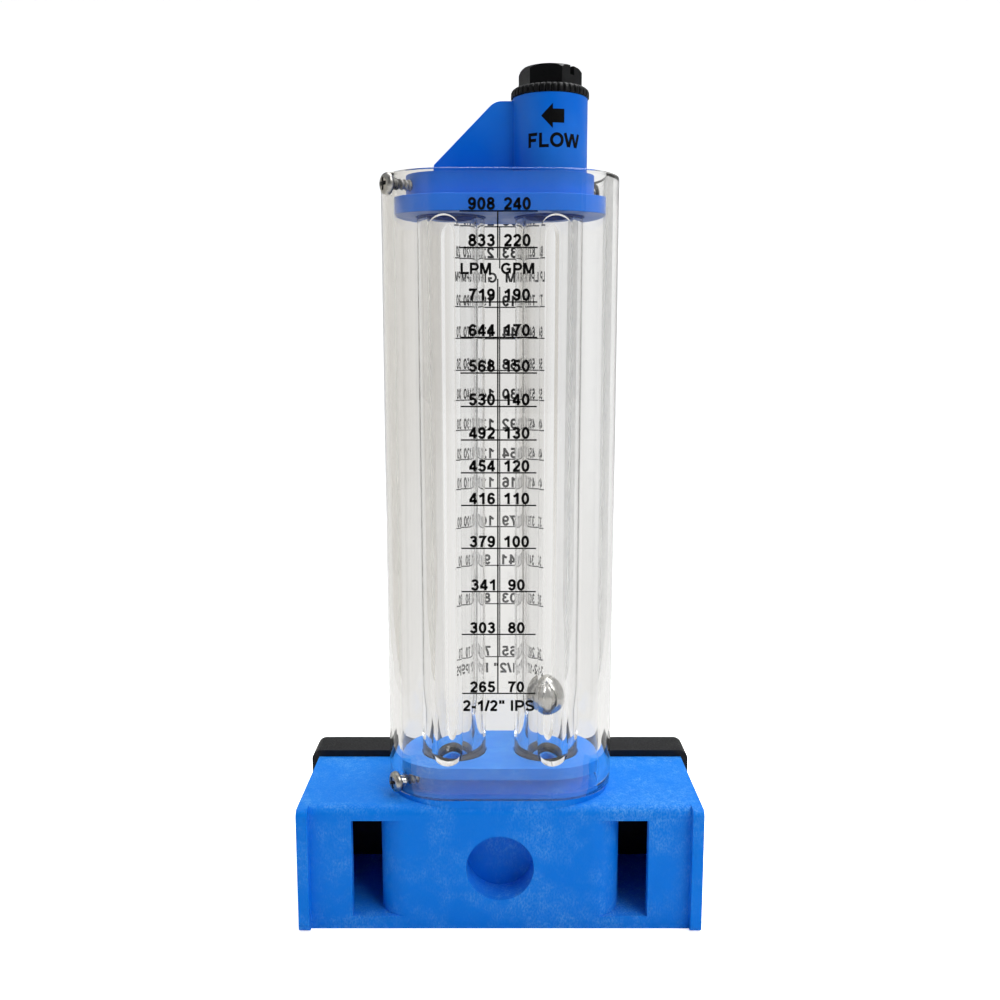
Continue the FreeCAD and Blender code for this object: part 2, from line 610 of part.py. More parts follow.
def make_screw(name, side, angle, z):
    """Pan head screw along its own X, with the underside of its head at X = 0."""
    body = new_body(name)
    head = "(sizes.screw_head_width / 2)"
    rise = "sizes.screw_head_height"
    shank = "(sizes.screw_width / 2)"
    profile = new_sketch(body, "screw_profile", "XZ_Plane")
    trace(profile, [
        ("-sizes.screw_length", "0"),
        ("-sizes.screw_length", "sizes.screw_tip / 2"),
        ("-sizes.screw_length + sizes.screw_point", shank),
        ("0", shank),
        ("0", head),
        ("sizes.screw_head_side", head, "sizes.screw_head_crown", -1),
        (rise, "sizes.screw_head_flat / 2"),
        (rise, "0"),
    ])
    turn("Revolution", body, profile, "X_Axis")
    seat = "(sizes.body_depth / 2)"
    place(body, x=f"{side} * {ARC_X} + {seat} * cos({angle})", y=f"{seat} * sin({angle})", z=z)
    body.Placement.Rotation = FreeCAD.Rotation(FreeCAD.Vector(0, 0, 1), value(angle))
    body.setExpression("Placement.Rotation.Angle", angle)


def make_screws():
    for level, z in (("lower", LOWER_SCREW_Z), ("upper", UPPER_SCREW_Z)):
        for name, side, angle in SCREW_PLACES:
            make_screw(f"{level}_screw_{name}", side, angle, z)


def make_saddle_pad():
    """Pad with its flat face at Y = 0, on the back of the base, and its hollow on the pipe."""
    body = new_body("saddle_pad")
    end = "(sizes.pad_width / 2)"
    tall = "sizes.pad_height"
    rounding = "sizes.pad_radius"
    plan = new_sketch(body, "pad_front", "XZ_Plane")
    trace(plan, [
        (f"-{end}", rounding, rounding, 1),
        (f"-{end} + {rounding}", "0"),
        (f"{end} - {rounding}", "0", rounding, 1),
        (end, rounding),
        (end, f"{tall} - {rounding}", rounding, 1),
        (f"{end} - {rounding}", tall),
        (f"-{end} + {rounding}", tall, rounding, 1),
        (f"-{end}", f"{tall} - {rounding}"),
    ])
    pad(body, plan, "sizes.pad_thickness", reverse=True)
    axis_z = "(sizes.probe_height - sizes.pad_bottom)"
    pipe = new_sketch(body, "pipe_side", "YZ_Plane")
    trace_circle(pipe, "sizes.pad_middle + sizes.pipe_width / 2", axis_z, "sizes.pipe_width")
    pocket(body, pipe, "sizes.pad_width", midplane=True)
    hole = new_sketch(body, "seal_hole", "XZ_Plane")
    trace_circle(hole, "0", axis_z, "(sizes.seal_width + 2 * sizes.probe_gap)")
    pocket(body, hole, "sizes.pad_thickness")
    place(body, y=BACK, z="sizes.pad_bottom")


def make_probe_seal():
    body = new_body("probe_seal")
    ring = new_sketch(body, "seal_plan", "XZ_Plane")
    trace_circle(ring, "0", "0", "sizes.seal_width")
    trace_circle(ring, "0", "0", "(sizes.root_width + 2 * sizes.probe_gap)")
    pad(body, ring, "sizes.pad_middle + sizes.seal_proud", reverse=True)
    place(body, y=BACK, z="sizes.probe_height")


def make_pitot_probe():
    """Probe along its own Z from its inner end, then laid down to point out of the back."""
    body = new_body("pitot_probe")
    radius = "(sizes.probe_width / 2)"
    length = (
        "(sizes.probe_socket - sizes.probe_gap + sizes.pad_middle"
        " + sizes.pipe_width / 2 + sizes.probe_past_axis)"
    )
    root = "(sizes.root_width / 2)"
    step = (
        "(sizes.probe_socket - sizes.probe_gap + sizes.pad_middle"
        " + sizes.seal_proud + sizes.root_proud)"
    )
    tip = "sizes.probe_tip_radius"
    profile = new_sketch(body, "probe_profile", "XZ_Plane")
    trace(profile, [
        ("0", "0"),
        (root, "0"),
        (root, step),
        (radius, step),
        (radius, f"{length} - {tip}", tip, 1),
        (f"{radius} - {tip}", length),
        ("0", length),
    ])
    turn("Revolution", body, profile, "Z_Axis")
    inlet = "(sizes.probe_socket - sizes.probe_gap - sizes.body_depth / 2)"
    port = f"({length} - sizes.port_setback)"
    for name, side, angle in (("downstream", -1, "180"), ("upstream", 1, "0")):
        x = f"{side} * sizes.channel_spacing / 2"
        bore_up(body, f"channel_{name}", x, "sizes.channel_wall", "sizes.channel_width", "sizes.channel_width",
                f"{port} + sizes.channel_width - sizes.channel_wall")
        for place_name, z in (("inner", inlet), ("port", port)):
            bore_level(body, f"{place_name}_{name}", "sizes.port_width", x, z, angle, "0", root)
    place(body, y=f"{BACK} - sizes.probe_socket + sizes.probe_gap", z="sizes.probe_height")
    body.Placement.Rotation = FreeCAD.Rotation(FreeCAD.Vector(1, 0, 0), -90)


def write_parts():
    doc.recompute()
    for item in doc.Objects:
        if "Invalid" in item.State or "Error" in item.State:
            raise RuntimeError(f"{item.Label} did not compute: {item.State}")
    for piece in parts:
        if piece.Shape.isNull() or not piece.Shape.isValid():
            raise RuntimeError(f"{piece.Label} has no valid shape")
    os.makedirs("parts", exist_ok=True)
    for piece in parts:
        piece.Shape.exportStep(f"parts/{piece.Label}.step")


fill_sheet()
make_base_housing()
make_clear_body()
make_tube_plate()
make_top_manifold()
make_cleaning_plug()
make_rings()
make_ball_float()
make_screws()
make_saddle_pad()
make_probe_seal()
make_pitot_probe()
write_parts()
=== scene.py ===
import math

import bmesh
import bpy
from mathutils import Matrix, Vector


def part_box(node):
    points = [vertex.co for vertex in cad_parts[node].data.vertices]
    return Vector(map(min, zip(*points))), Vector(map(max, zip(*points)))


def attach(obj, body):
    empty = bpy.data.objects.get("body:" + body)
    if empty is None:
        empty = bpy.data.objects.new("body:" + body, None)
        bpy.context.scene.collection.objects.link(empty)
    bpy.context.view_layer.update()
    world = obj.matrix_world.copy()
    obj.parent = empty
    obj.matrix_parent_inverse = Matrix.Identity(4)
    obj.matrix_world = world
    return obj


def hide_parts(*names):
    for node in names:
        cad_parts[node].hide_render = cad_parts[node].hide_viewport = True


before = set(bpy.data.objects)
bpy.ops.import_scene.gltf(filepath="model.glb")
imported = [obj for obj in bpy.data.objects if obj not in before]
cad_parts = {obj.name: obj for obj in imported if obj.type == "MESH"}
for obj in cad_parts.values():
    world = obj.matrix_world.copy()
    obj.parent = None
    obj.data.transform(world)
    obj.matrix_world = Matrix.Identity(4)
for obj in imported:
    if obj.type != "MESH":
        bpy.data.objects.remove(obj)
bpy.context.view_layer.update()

bl_info = {
    "name": "Ball rotameter",
    "version": (1, 0, 0),
    "blender": (4, 5, 0),
    "location": "View3D > Sidebar > Rotameter",
    "description": "Finishes and fine detail of a pipe-mounted ball rotameter",
    "category": "Object",
}

MM = 0.001


# --- Places read from the frame ---

def middle(node):
    low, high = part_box(node)
    return (Vector(low) + Vector(high)) / 2


def extent(node):
    low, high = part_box(node)
    return Vector(high) - Vector(low)


BODY_LOW = Vector(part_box("clear_body")[0])
BODY_HIGH = Vector(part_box("clear_body")[1])
BODY_SIZE = BODY_HIGH - BODY_LOW
AXIS_Y = middle("clear_body").y
TUBE_X = middle("ball_float").x
BALL_RADIUS = extent("ball_float").z / 2
BALL_MIDDLE = middle("ball_float")
RING_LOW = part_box("lower_ring_right")[1][2]
RING_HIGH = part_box("upper_ring_right")[0][2]
TOWER_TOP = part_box("top_manifold")[1][2]
MANIFOLD_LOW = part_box("top_manifold")[0][2]
PLATE_GAP = 0.1 * MM
WALL = (BODY_SIZE.x - extent("tube_plate").x) / 2 - PLATE_GAP


# --- Sizes and colours that a user may change ---

def length(name, meaning, millimetres):
    return bpy.props.FloatProperty(
        name=name, description=meaning, default=millimetres * MM, unit="LENGTH", precision=5)


def colour(name, meaning, hex_value):
    return bpy.props.StringProperty(name=name, description=meaning, default=hex_value)


class ClearBodySizes(bpy.types.PropertyGroup):
    tube_width: length("Tube width", "Outside of each tube", 22.9)
    tube_bore: length("Tube bore", "Inside of each tube at the ball seat", 14.8)
    tube_bore_top: length("Tube bore at the top", "Inside of each tube at its top", 16.2)
    inlet_bore: length("Inlet bore", "Inside of each tube below the ball seat", 13.4)
    seat_rise: length("Seat rise", "Height of the tapered ball seat", 8.0)
    seat_drop: length("Seat drop", "Foot of the seat below the resting ball's middle", 6.4)
    web_width: length("Web width", "Webs from the tubes to the walls", 10.0)
    web_outward: length("Web outward", "Middle of each web, outward of its tube", 1.4)
    web_lift: length("Web lift", "Ends of the webs, inside the ends of the tubes", 0.5)
    ring_squeeze: length("Ring squeeze", "Tube ends pressed into their rubber rings", 0.35)
    rim_radius: length("Rim radius", "Rounded top and bottom rims", 0.7)
    screw_hole: length("Screw hole", "Holes for the body screws", 3.7)
    arc_steps: bpy.props.IntProperty(
        name="Arc steps", description="Facets around each round end", default=72, min=12)


class ScaleSizes(bpy.types.PropertyGroup):
    digit_height: length("Digit height", "Height of the printed figures", 3.8)
    digit_lift: length("Digit lift", "Figures above the middle of their line", 0.38)
    unit_height: length("Unit height", "Height of the unit names", 3.5)
    size_height: length("Size height", "Height of the pipe size", 3.8)
    line_length: length("Line length", "Length of the printed scale lines", 24.8)
    line_aside: length("Line aside", "Scale lines from the upright line", 0.28)
    line_width: length("Line width", "Thickness of the printed lines", 0.46)
    ink: length("Ink", "Height of the ink above the surface", 0.02)
    offset: length("Offset", "Upright line on the front, from the middle", -0.72)
    back_offset: length("Back offset", "Upright line on the back, from the middle", -0.1)
    left_gap: length("Left gap", "From the upright line to the left figures", 0.9)
    right_middle: length("Right middle", "Middle of the right figures, from the line", 6.2)
    unit_gaps: bpy.props.FloatVectorProperty(
        name="Unit gaps", description="From the upright line to the unit names",
        size=2, default=(2.1 * MM, 1.0 * MM), unit="LENGTH")


class FlowMarkSizes(bpy.types.PropertyGroup):
    arrow_length: length("Arrow length", "Tip to tail", 7.6)
    head_height: length("Head height", "Arrow head, top to bottom", 7.8)
    head_length: length("Head length", "Arrow head, tip to root", 3.8)
    shaft_height: length("Shaft height", "Arrow shaft, top to bottom", 4.3)
    text_height: length("Text height", "Height of the word", 4.45)
    arrow_aside: length("Arrow aside", "Middle of the arrow from the middle of the word", -0.8)
    arrow_rise: length("Arrow rise", "Middle of the arrow above the manifold's foot", 25.0)
    word_rise: length("Word rise", "Foot of the word above the manifold's foot", 15.3)
    around: length("Around", "Mark along the surface, from the front", 1.2)


class FastenerSizes(bpy.types.PropertyGroup):
    recess_width: length("Recess width", "Cross recess, tip to tip", 4.8)
    recess_depth: length("Recess depth", "Cross recess", 1.5)
    recess_wing: length("Recess wing", "Thickness of each wing of the recess", 1.3)
    thread_pitch: length("Thread pitch", "Thread of the body screws", 1.3)
    plug_pitch: length("Plug pitch", "Thread of the cleaning plug", 2.0)
    thread_depth: length("Thread depth", "Thread of the cleaning plug", 0.7)


class RubberSizes(bpy.types.PropertyGroup):
    # the ring is real; its narrow inside also stands in as painted shade of the inlet passage
    ring_inside: length("Ring inside", "Pressed ring under each tube, inside", 10.6)
    ring_outside: length("Ring outside", "Pressed ring under each tube, outside", 22.4)
    ring_bite: length("Ring bite", "How far the rubber hugs the end of the tube", 0.08)


class FinishColours(bpy.types.PropertyGroup):
    base: colour("Base", "Glass-filled polypropylene, deep tone", "#0079E4")
    # also the colour of the painted highlight on the upward faces of the base
    base_frost: colour("Base frost", "Glass fibres under the skin", "#62AAEE")
    manifold: colour("Manifold", "Moulded ABS", "#006BDC")
    acrylic: colour("Acrylic", "Clear moulded acrylic", "#FCFCFC")
    ink: colour("Ink", "Screen-printed ink", "#020202")
    plug: colour("Plug", "Black moulded nylon", "#050506")
    rubber: colour("Rubber", "Moulded EPDM rubber", "#0C0C0E")
    rubber_bloom: colour("Rubber bloom", "Dull bloom on the rubber", "#242426")
    silicone: colour("Silicone", "Blue silicone rubber", "#0A46B4")
    steel: colour("Steel", "Polished stainless steel", "#C9C7C2")
    screw_steel: colour("Screw steel", "Cold-headed stainless steel", "#A9A6A0")
    # painted shade: dark colour laid into the screw recesses and threads, where shade falls
    dirt: colour("Dirt", "Dirt in the screw recesses", "#0E0D0C")


class StageSizes(bpy.types.PropertyGroup):
    camera_distance: length("Camera distance", "Camera in front of the middle of the body", 356.5)
    camera_height: length("Camera height", "Camera above the floor", 200.8)
    camera_pitch: bpy.props.FloatProperty(
        name="Camera pitch", description="Camera tilted down", default=math.radians(8.33),
        subtype="ANGLE")
    focal_length: bpy.props.FloatProperty(
        name="Focal length", description="Lens of the camera, in millimetres", default=36.9)
    floor_colour: colour("Floor colour", "Matt white paper", "#FFFFFF")
    left_card: colour("Left card", "Grey card left of the meter", "#CFCCC5")
    right_card: colour("Right card", "Grey card right of the meter", "#F0EFEC")


# --- Materials ---

WHITE = (1.0, 1.0, 1.0, 1.0)


def finish_colours():
    return bpy.context.scene.rotameter_colours


def linear(hex_value):
    """sRGB hex to the linear colour that the shader takes."""
    channels = [int(hex_value[i:i + 2], 16) / 255 for i in (1, 3, 5)]
    return [c / 12.92 if c <= 0.04045 else ((c + 0.055) / 1.055) ** 2.4 for c in channels] + [1.0]


def add(tree, kind, inputs=None, **settings):
    """Add a shader node; each input is a plain value or the output socket that feeds it."""
    node = tree.nodes.new(kind)
    for name, value in settings.items():
        setattr(node, name, value)
    for name, value in (inputs or {}).items():
        if isinstance(value, bpy.types.NodeSocket):
            tree.links.new(value, node.inputs[name])
        else:
            node.inputs[name].default_value = value
    return node


def new_material(name):
    material = bpy.data.materials.new(name)
    material.use_nodes = True
    material.node_tree.nodes.clear()
    return material, material.node_tree


def finished(material, shader):
    """Join a shader's socket to the material's output."""
    add(material.node_tree, "ShaderNodeOutputMaterial", {"Surface": shader})
    return material


def surface(tree, inputs):
    return add(tree, "ShaderNodeBsdfPrincipled", inputs).outputs[0]


def solid(material, inputs):
    """Finish a material with one principled surface."""
    return finished(material, surface(material.node_tree, inputs))


def object_points(tree):
    return add(tree, "ShaderNodeTexCoord").outputs["Object"]


def noise(tree, points, size_mm, detail=2.0, roughness=0.5):
    """Soft noise whose grains are size_mm across."""
    return add(tree, "ShaderNodeTexNoise", {
        "Vector": points, "Scale": 1 / (size_mm * MM), "Detail": detail, "Roughness": roughness,
    }).outputs["Fac"]


def ramp(tree, factor, low, high, low_value=0.0, high_value=1.0):
    """Map low..high to low_value..high_value and hold the ends."""
    return add(tree, "ShaderNodeMapRange", {
        "Value": factor, "From Min": low, "From Max": high, "To Min": low_value,
        "To Max": high_value}, clamp=True).outputs["Result"]


def blend(tree, factor, first, second):
    mix = add(tree, "ShaderNodeMix", {"Factor": factor}, data_type="RGBA")
    for socket, value in ((mix.inputs[6], first), (mix.inputs[7], second)):
        if isinstance(value, bpy.types.NodeSocket):
            tree.links.new(value, socket)
        else:
            socket.default_value = value
    return mix.outputs[2]


def combined(tree, operation, first, second):
    return add(tree, "ShaderNodeMath", {0: first, 1: second}, operation=operation).outputs[0]


def along(tree, vector, axis):
    return add(tree, "ShaderNodeSeparateXYZ", {"Vector": vector}).outputs[axis]


def stretched(tree, points, upward):
    """Points squeezed along z, which draws a texture out upright."""
    scale = (1.0, 1.0, upward)
    return add(tree, "ShaderNodeMapping", {"Vector": points, "Scale": scale}).outputs[0]


def choose(tree, factor, first, second):
    """First shader where the factor is 0, second where it is 1."""
    return add(tree, "ShaderNodeMixShader", {0: factor, 1: first, 2: second}).outputs[0]


def bump(tree, height, distance_mm, strength):
    return add(tree, "ShaderNodeBump", {
        "Height": height, "Distance": distance_mm * MM, "Strength": strength}).outputs["Normal"]


def glass_filled_polypropylene(colours):
    """Glass-fibre-filled polypropylene, moulded: blue, with pale fibres that cloud the skin, and a
    painted highlight that makes upward faces paler.
    """
    material, tree = new_material("glass_filled_polypropylene_moulded")
    points = object_points(tree)
    patches = ramp(tree, noise(tree, points, 17, 3.0, 0.6), 0.42, 0.62, 0.05, 0.6)
    facing = add(tree, "ShaderNodeNewGeometry").outputs["Normal"]
    # painted highlight: faces that look up take more of the pale frost colour
    upward = ramp(tree, along(tree, facing, "Z"), 0.3, 0.9, 0.0, 0.3)
    clouds_and_top_light = combined(tree, "ADD", patches, upward)
    fibres = noise(tree, stretched(tree, points, 0.55), 0.62, 2.0, 0.6)
    flecks = ramp(tree, fibres, 0.41, 0.64, 0.1, 1.0)
    grains = ramp(tree, noise(tree, points, 3.0, 3.0, 0.6), 0.35, 0.62, 0.3, 1.0)
    # frost holds the real fibre clouds and the painted highlight on upward faces
    frost = combined(tree, "MULTIPLY", combined(tree, "MULTIPLY", clouds_and_top_light, grains), flecks)
    return solid(material, {
        "Base Color": blend(tree, frost, linear(colours.base), linear(colours.base_frost)),
        "Roughness": ramp(tree, frost, 0.0, 0.5, 0.42, 0.58),
        "IOR": 1.49,
        "Specular IOR Level": 0.1,
        "Subsurface Weight": 0.08,
        "Subsurface Scale": 0.002,
        "Normal": bump(tree, flecks, 0.03, 0.6),
    })


def moulded_abs(colours):
    """ABS, moulded in a polished tool: even blue, a soft gloss and faint flow waviness."""
    material, tree = new_material("abs_moulded")
    points = object_points(tree)
    tone = ramp(tree, noise(tree, points, 22), 0.35, 0.7, 0.0, 0.14)
    waves = noise(tree, points, 6)
    return solid(material, {
        "Base Color": blend(tree, tone, linear(colours.manifold), linear(colours.base_frost)),
        "Roughness": ramp(tree, waves, 0.3, 0.7, 0.3, 0.42),
        "IOR": 1.53,
        "Specular IOR Level": 0.15,
        "Subsurface Weight": 0.05,
        "Subsurface Scale": 0.002,
        "Normal": bump(tree, waves, 0.05, 0.5),
    })


def moulded_acrylic(colours):
    """Acrylic, moulded and polished: water-clear, with slight flow lines along the tubes."""
    material, tree = new_material("acrylic_moulded_clear")
    flow = noise(tree, stretched(tree, object_points(tree), 0.08), 3.5, 1.0)
    glossy = surface(tree, {
        "Base Color": linear(colours.acrylic),
        "Roughness": 0.015,
        "IOR": 1.49,
        "Transmission Weight": 1.0,
        "Normal": bump(tree, flow, 0.02, 0.35),
    })
    lamp_ray = add(tree, "ShaderNodeLightPath").outputs["Is Shadow Ray"]
    through = add(tree, "ShaderNodeBsdfTransparent", {"Color": (0.98, 0.985, 0.98, 1.0)})
    return finished(material, choose(tree, lamp_ray, glossy, through.outputs[0]))


def screen_ink(colours):
    """Screen-printed ink: black, satin, with slightly uneven cover."""
    material, tree = new_material("screen_print_ink")
    cover = ramp(tree, noise(tree, object_points(tree), 0.35), 0.3, 0.7, 0.55, 0.8)
    return solid(material, {
        "Base Color": linear(colours.ink), "Roughness": cover, "IOR": 1.35,
        "Specular IOR Level": 0.2})


def moulded_nylon(colours):
    """Nylon, moulded: black with a grey sheen on its edges and fine moulding texture."""
    material, tree = new_material("nylon_moulded_black")
    texture = noise(tree, object_points(tree), 0.5, 3.0, 0.6)
    return solid(material, {
        "Base Color": linear(colours.plug),
        "Roughness": ramp(tree, texture, 0.3, 0.7, 0.27, 0.4),
        "IOR": 1.53,
        "Specular IOR Level": 0.22,
        "Normal": bump(tree, texture, 0.03, 0.5),
    })


def moulded_rubber(name, deep, bloomed):
    """Rubber, moulded: satin, with a fine dull bloom on its skin."""
    material, tree = new_material(name)
    points = object_points(tree)
    bloom = ramp(tree, noise(tree, points, 7, 3.0, 0.6), 0.4, 0.7, 0.0, 0.25)
    grain = noise(tree, points, 0.6)
    return solid(material, {
        "Base Color": blend(tree, bloom, linear(deep), linear(bloomed)),
        "Roughness": ramp(tree, grain, 0.3, 0.7, 0.48, 0.66),
        "IOR": 1.5,
        "Specular IOR Level": 0.3,
        "Normal": bump(tree, grain, 0.03, 0.5),
    })


def stainless_steel(colours):
    """Stainless steel, turned and polished: bright, with small scuffs."""
    material, tree = new_material("stainless_steel_polished")
    scuffs = noise(tree, object_points(tree), 1.1, 4.0, 0.7)
    return solid(material, {
        "Base Color": linear(colours.steel),
        "Metallic": 1.0,
        "Roughness": ramp(tree, scuffs, 0.35, 0.7, 0.12, 0.3),
        "Normal": bump(tree, scuffs, 0.015, 0.5),
    })


def headed_steel(colours):
    """Stainless steel, cold-headed: satin, with painted shade darkening the recess and the thread.
    """
    material, tree = new_material("stainless_steel_headed")
    scuffs = noise(tree, object_points(tree), 0.8, 4.0, 0.7)
    # painted shade: ambient occlusion darkens the colour and takes the metal out of the recess and
    # the thread
    hollows = add(tree, "ShaderNodeAmbientOcclusion", {"Distance": 1.6 * MM}, samples=8)
    unshaded = ramp(tree, hollows.outputs["AO"], 0.45, 0.85)
    return solid(material, {
        "Base Color": blend(tree, unshaded, linear(colours.dirt), linear(colours.screw_steel)),
        "Metallic": ramp(tree, unshaded, 0.0, 0.5),
        "Roughness": ramp(tree, scuffs, 0.35, 0.7, 0.24, 0.46),
        "Normal": bump(tree, scuffs, 0.02, 0.6),
    })


def matt_paper(tree, hex_value):
    return surface(tree, {"Base Color": linear(hex_value), "Roughness": 0.9})


def backdrop_paper(hex_value):
    """Matt white paper: full white, keeps the meter's shadow, and to rays through clear parts
    glows with painted shade that greys it off towards the left.
    """
    material, tree = new_material("backdrop_paper")
    rays = add(tree, "ShaderNodeLightPath")
    seen = combined(tree, "MULTIPLY", rays.outputs["Is Camera Ray"], 0.7)
    glow = add(tree, "ShaderNodeEmission", {"Color": WHITE, "Strength": seen})
    both = add(tree, "ShaderNodeAddShader", {0: matt_paper(tree, hex_value), 1: glow.outputs[0]})
    # painted shade: seen through clear parts the paper glows, greyer towards the left, in place of
    # its lit shading
    tone = ramp(tree, along(tree, object_points(tree), "X"), -0.9, 0.5)
    paper = blend(tree, tone, linear("#D9D6D0"), linear("#F9F9F8"))
    through = add(tree, "ShaderNodeEmission", {"Color": paper, "Strength": 1.0})
    return finished(material, choose(
        tree, rays.outputs["Is Transmission Ray"], both.outputs[0], through.outputs[0]))


def flag_card(hex_value):
    """Matt grey card that stands beside the meter and darkens the rims of clear parts."""
    material, tree = new_material("flag_card")
    return finished(material, matt_paper(tree, hex_value))


# --- Meshes ---

def quarter_turn(steps):
    """Angles from 0 to 90 degrees."""
    return [math.pi / 2 * step / steps for step in range(steps + 1)]


def polar(radius, turn):
    return radius * math.cos(turn), radius * math.sin(turn)


def full_turn(steps):
    """Angles around a circle, the first one not repeated."""
    return [2 * math.pi * step / steps for step in range(steps)]


def half_turn(start, steps):
    """Angles over 180 degrees from a start in degrees."""
    return [math.radians(start + 180 * step / steps) for step in range(steps + 1)]


def obround(width, depth, steps):
    """Points around an outline with two round ends, about (0, AXIS_Y)."""
    radius = depth / 2
    reach = width / 2 - radius
    return [(side * reach + radius * math.cos(angle), AXIS_Y + radius * math.sin(angle))
            for side, start in ((1, -90), (-1, 90)) for angle in half_turn(start, steps)]


def box_outline(half_x, half_y):
    return [(-half_x, -half_y), (half_x, -half_y), (half_x, half_y), (-half_x, half_y)]


def circle(x, radius, steps):
    return [(x + radius * math.cos(turn), AXIS_Y + radius * math.sin(turn))
            for turn in full_turn(steps)]


def raised(outline, z):
    """Flat outline as a ring of 3-D points at a height."""
    return [(x, y, z) for x, y in outline]


def link(name, data):
    """New object in the scene from a mesh, a lamp or a camera."""
    made = bpy.data.objects.new(name, data)
    bpy.context.scene.collection.objects.link(made)
    return made


def plain_mesh(name, points, faces):
    data = bpy.data.meshes.new(name)
    data.from_pydata(points, [], faces)
    return data


def to_object(name, mesh):
    """New object from a bmesh, with its faces turned outward."""
    data = bpy.data.meshes.new(name)
    bmesh.ops.recalc_face_normals(mesh, faces=mesh.faces)
    mesh.to_mesh(data)
    mesh.free()
    return link(name, data)


def loft(name, rings):
    """Join closed rings of 3-D points, low to high, and cap both ends."""
    mesh = bmesh.new()
    rows = [[mesh.verts.new(point) for point in ring] for ring in rings]
    for low, high in zip(rows, rows[1:]):
        for i in range(len(low)):
            j = (i + 1) % len(low)
            mesh.faces.new((low[i], low[j], high[j], high[i]))
    mesh.faces.new(reversed(rows[0]))
    mesh.faces.new(rows[-1])
    return to_object(name, mesh)


def prism(name, outline, low, high):
    return loft(name, [raised(outline, z) for z in (low, high)])


def lathe(name, profile, steps=96):
    """Turn (radius, z) points about the z axis."""
    return loft(name, [[(*polar(radius, turn), z) for turn in full_turn(steps)]
                       for radius, z in profile])


def combine(target, others, operation):
    """Boolean the others into the target and remove them."""
    for other in others:
        modifier = target.modifiers.new("combine", "BOOLEAN")
        modifier.operation = operation
        modifier.solver = "EXACT"
        modifier.object = other
    settle(target)
    for other in others:
        bpy.data.objects.remove(other)


def settle(target):
    """Replace an object's mesh by what its modifiers make of it."""
    graph = bpy.context.evaluated_depsgraph_get()
    data = bpy.data.meshes.new_from_object(target.evaluated_get(graph))
    target.modifiers.clear()
    target.data = data


def even_normals(target):
    modifier = target.modifiers.new("even normals", "WEIGHTED_NORMAL")
    modifier.keep_sharp = True


def moulded_radius(target, width, degrees):
    """Round every edge sharper than an angle."""
    bevel = target.modifiers.new("moulded radius", "BEVEL")
    bevel.width = width
    bevel.segments = 3
    bevel.limit_method = "ANGLE"
    bevel.angle_limit = math.radians(degrees)
    return bevel


def smooth(target, degrees):
    target.data.shade_smooth()
    target.data.set_sharp_from_angle(angle=math.radians(degrees))
    even_normals(target)


def dress(piece, body, material):
    """Give a piece its material and its body."""
    piece.data.materials.clear()
    piece.data.materials.append(material)
    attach(piece, body)


def round_edges(node, width_mm, material):
    """Give a carried-over solid its small moulded radii and its material."""
    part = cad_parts[node]
    paint(node, material)
    weld = part.modifiers.new("weld", "WELD")
    weld.merge_threshold = 0.001 * MM
    bevel = moulded_radius(part, width_mm * MM, 40)
    bevel.use_clamp_overlap = True
    bevel.harden_normals = False
    even_normals(part)


def paint(node, material):
    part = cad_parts[node]
    for slot in part.material_slots:
        slot.material = material
    if not part.material_slots:
        part.data.materials.append(material)


# --- Operators ---

SCREWS = ("lower_screw_front", "lower_screw_rear", "upper_screw_front", "upper_screw_rear")
PAST = 1 * MM  # cutting shapes run this far past what they cut


def screw_place(node, reach):
    """Place of a body screw: z points out of the round end of the wall, reach from its centre."""
    centre = middle(node)
    arc_x = (1 if node.endswith("rear") else -1) * (BODY_SIZE.x - BODY_SIZE.y) / 2
    angle = math.atan2(centre.y - AXIS_Y, centre.x - arc_x)
    spot = (arc_x + reach * math.cos(angle), AXIS_Y + reach * math.sin(angle), centre.z)
    return (Matrix.Translation(spot) @ Matrix.Rotation(angle, 4, "Z")
            @ Matrix.Rotation(math.pi / 2, 4, "Y"))


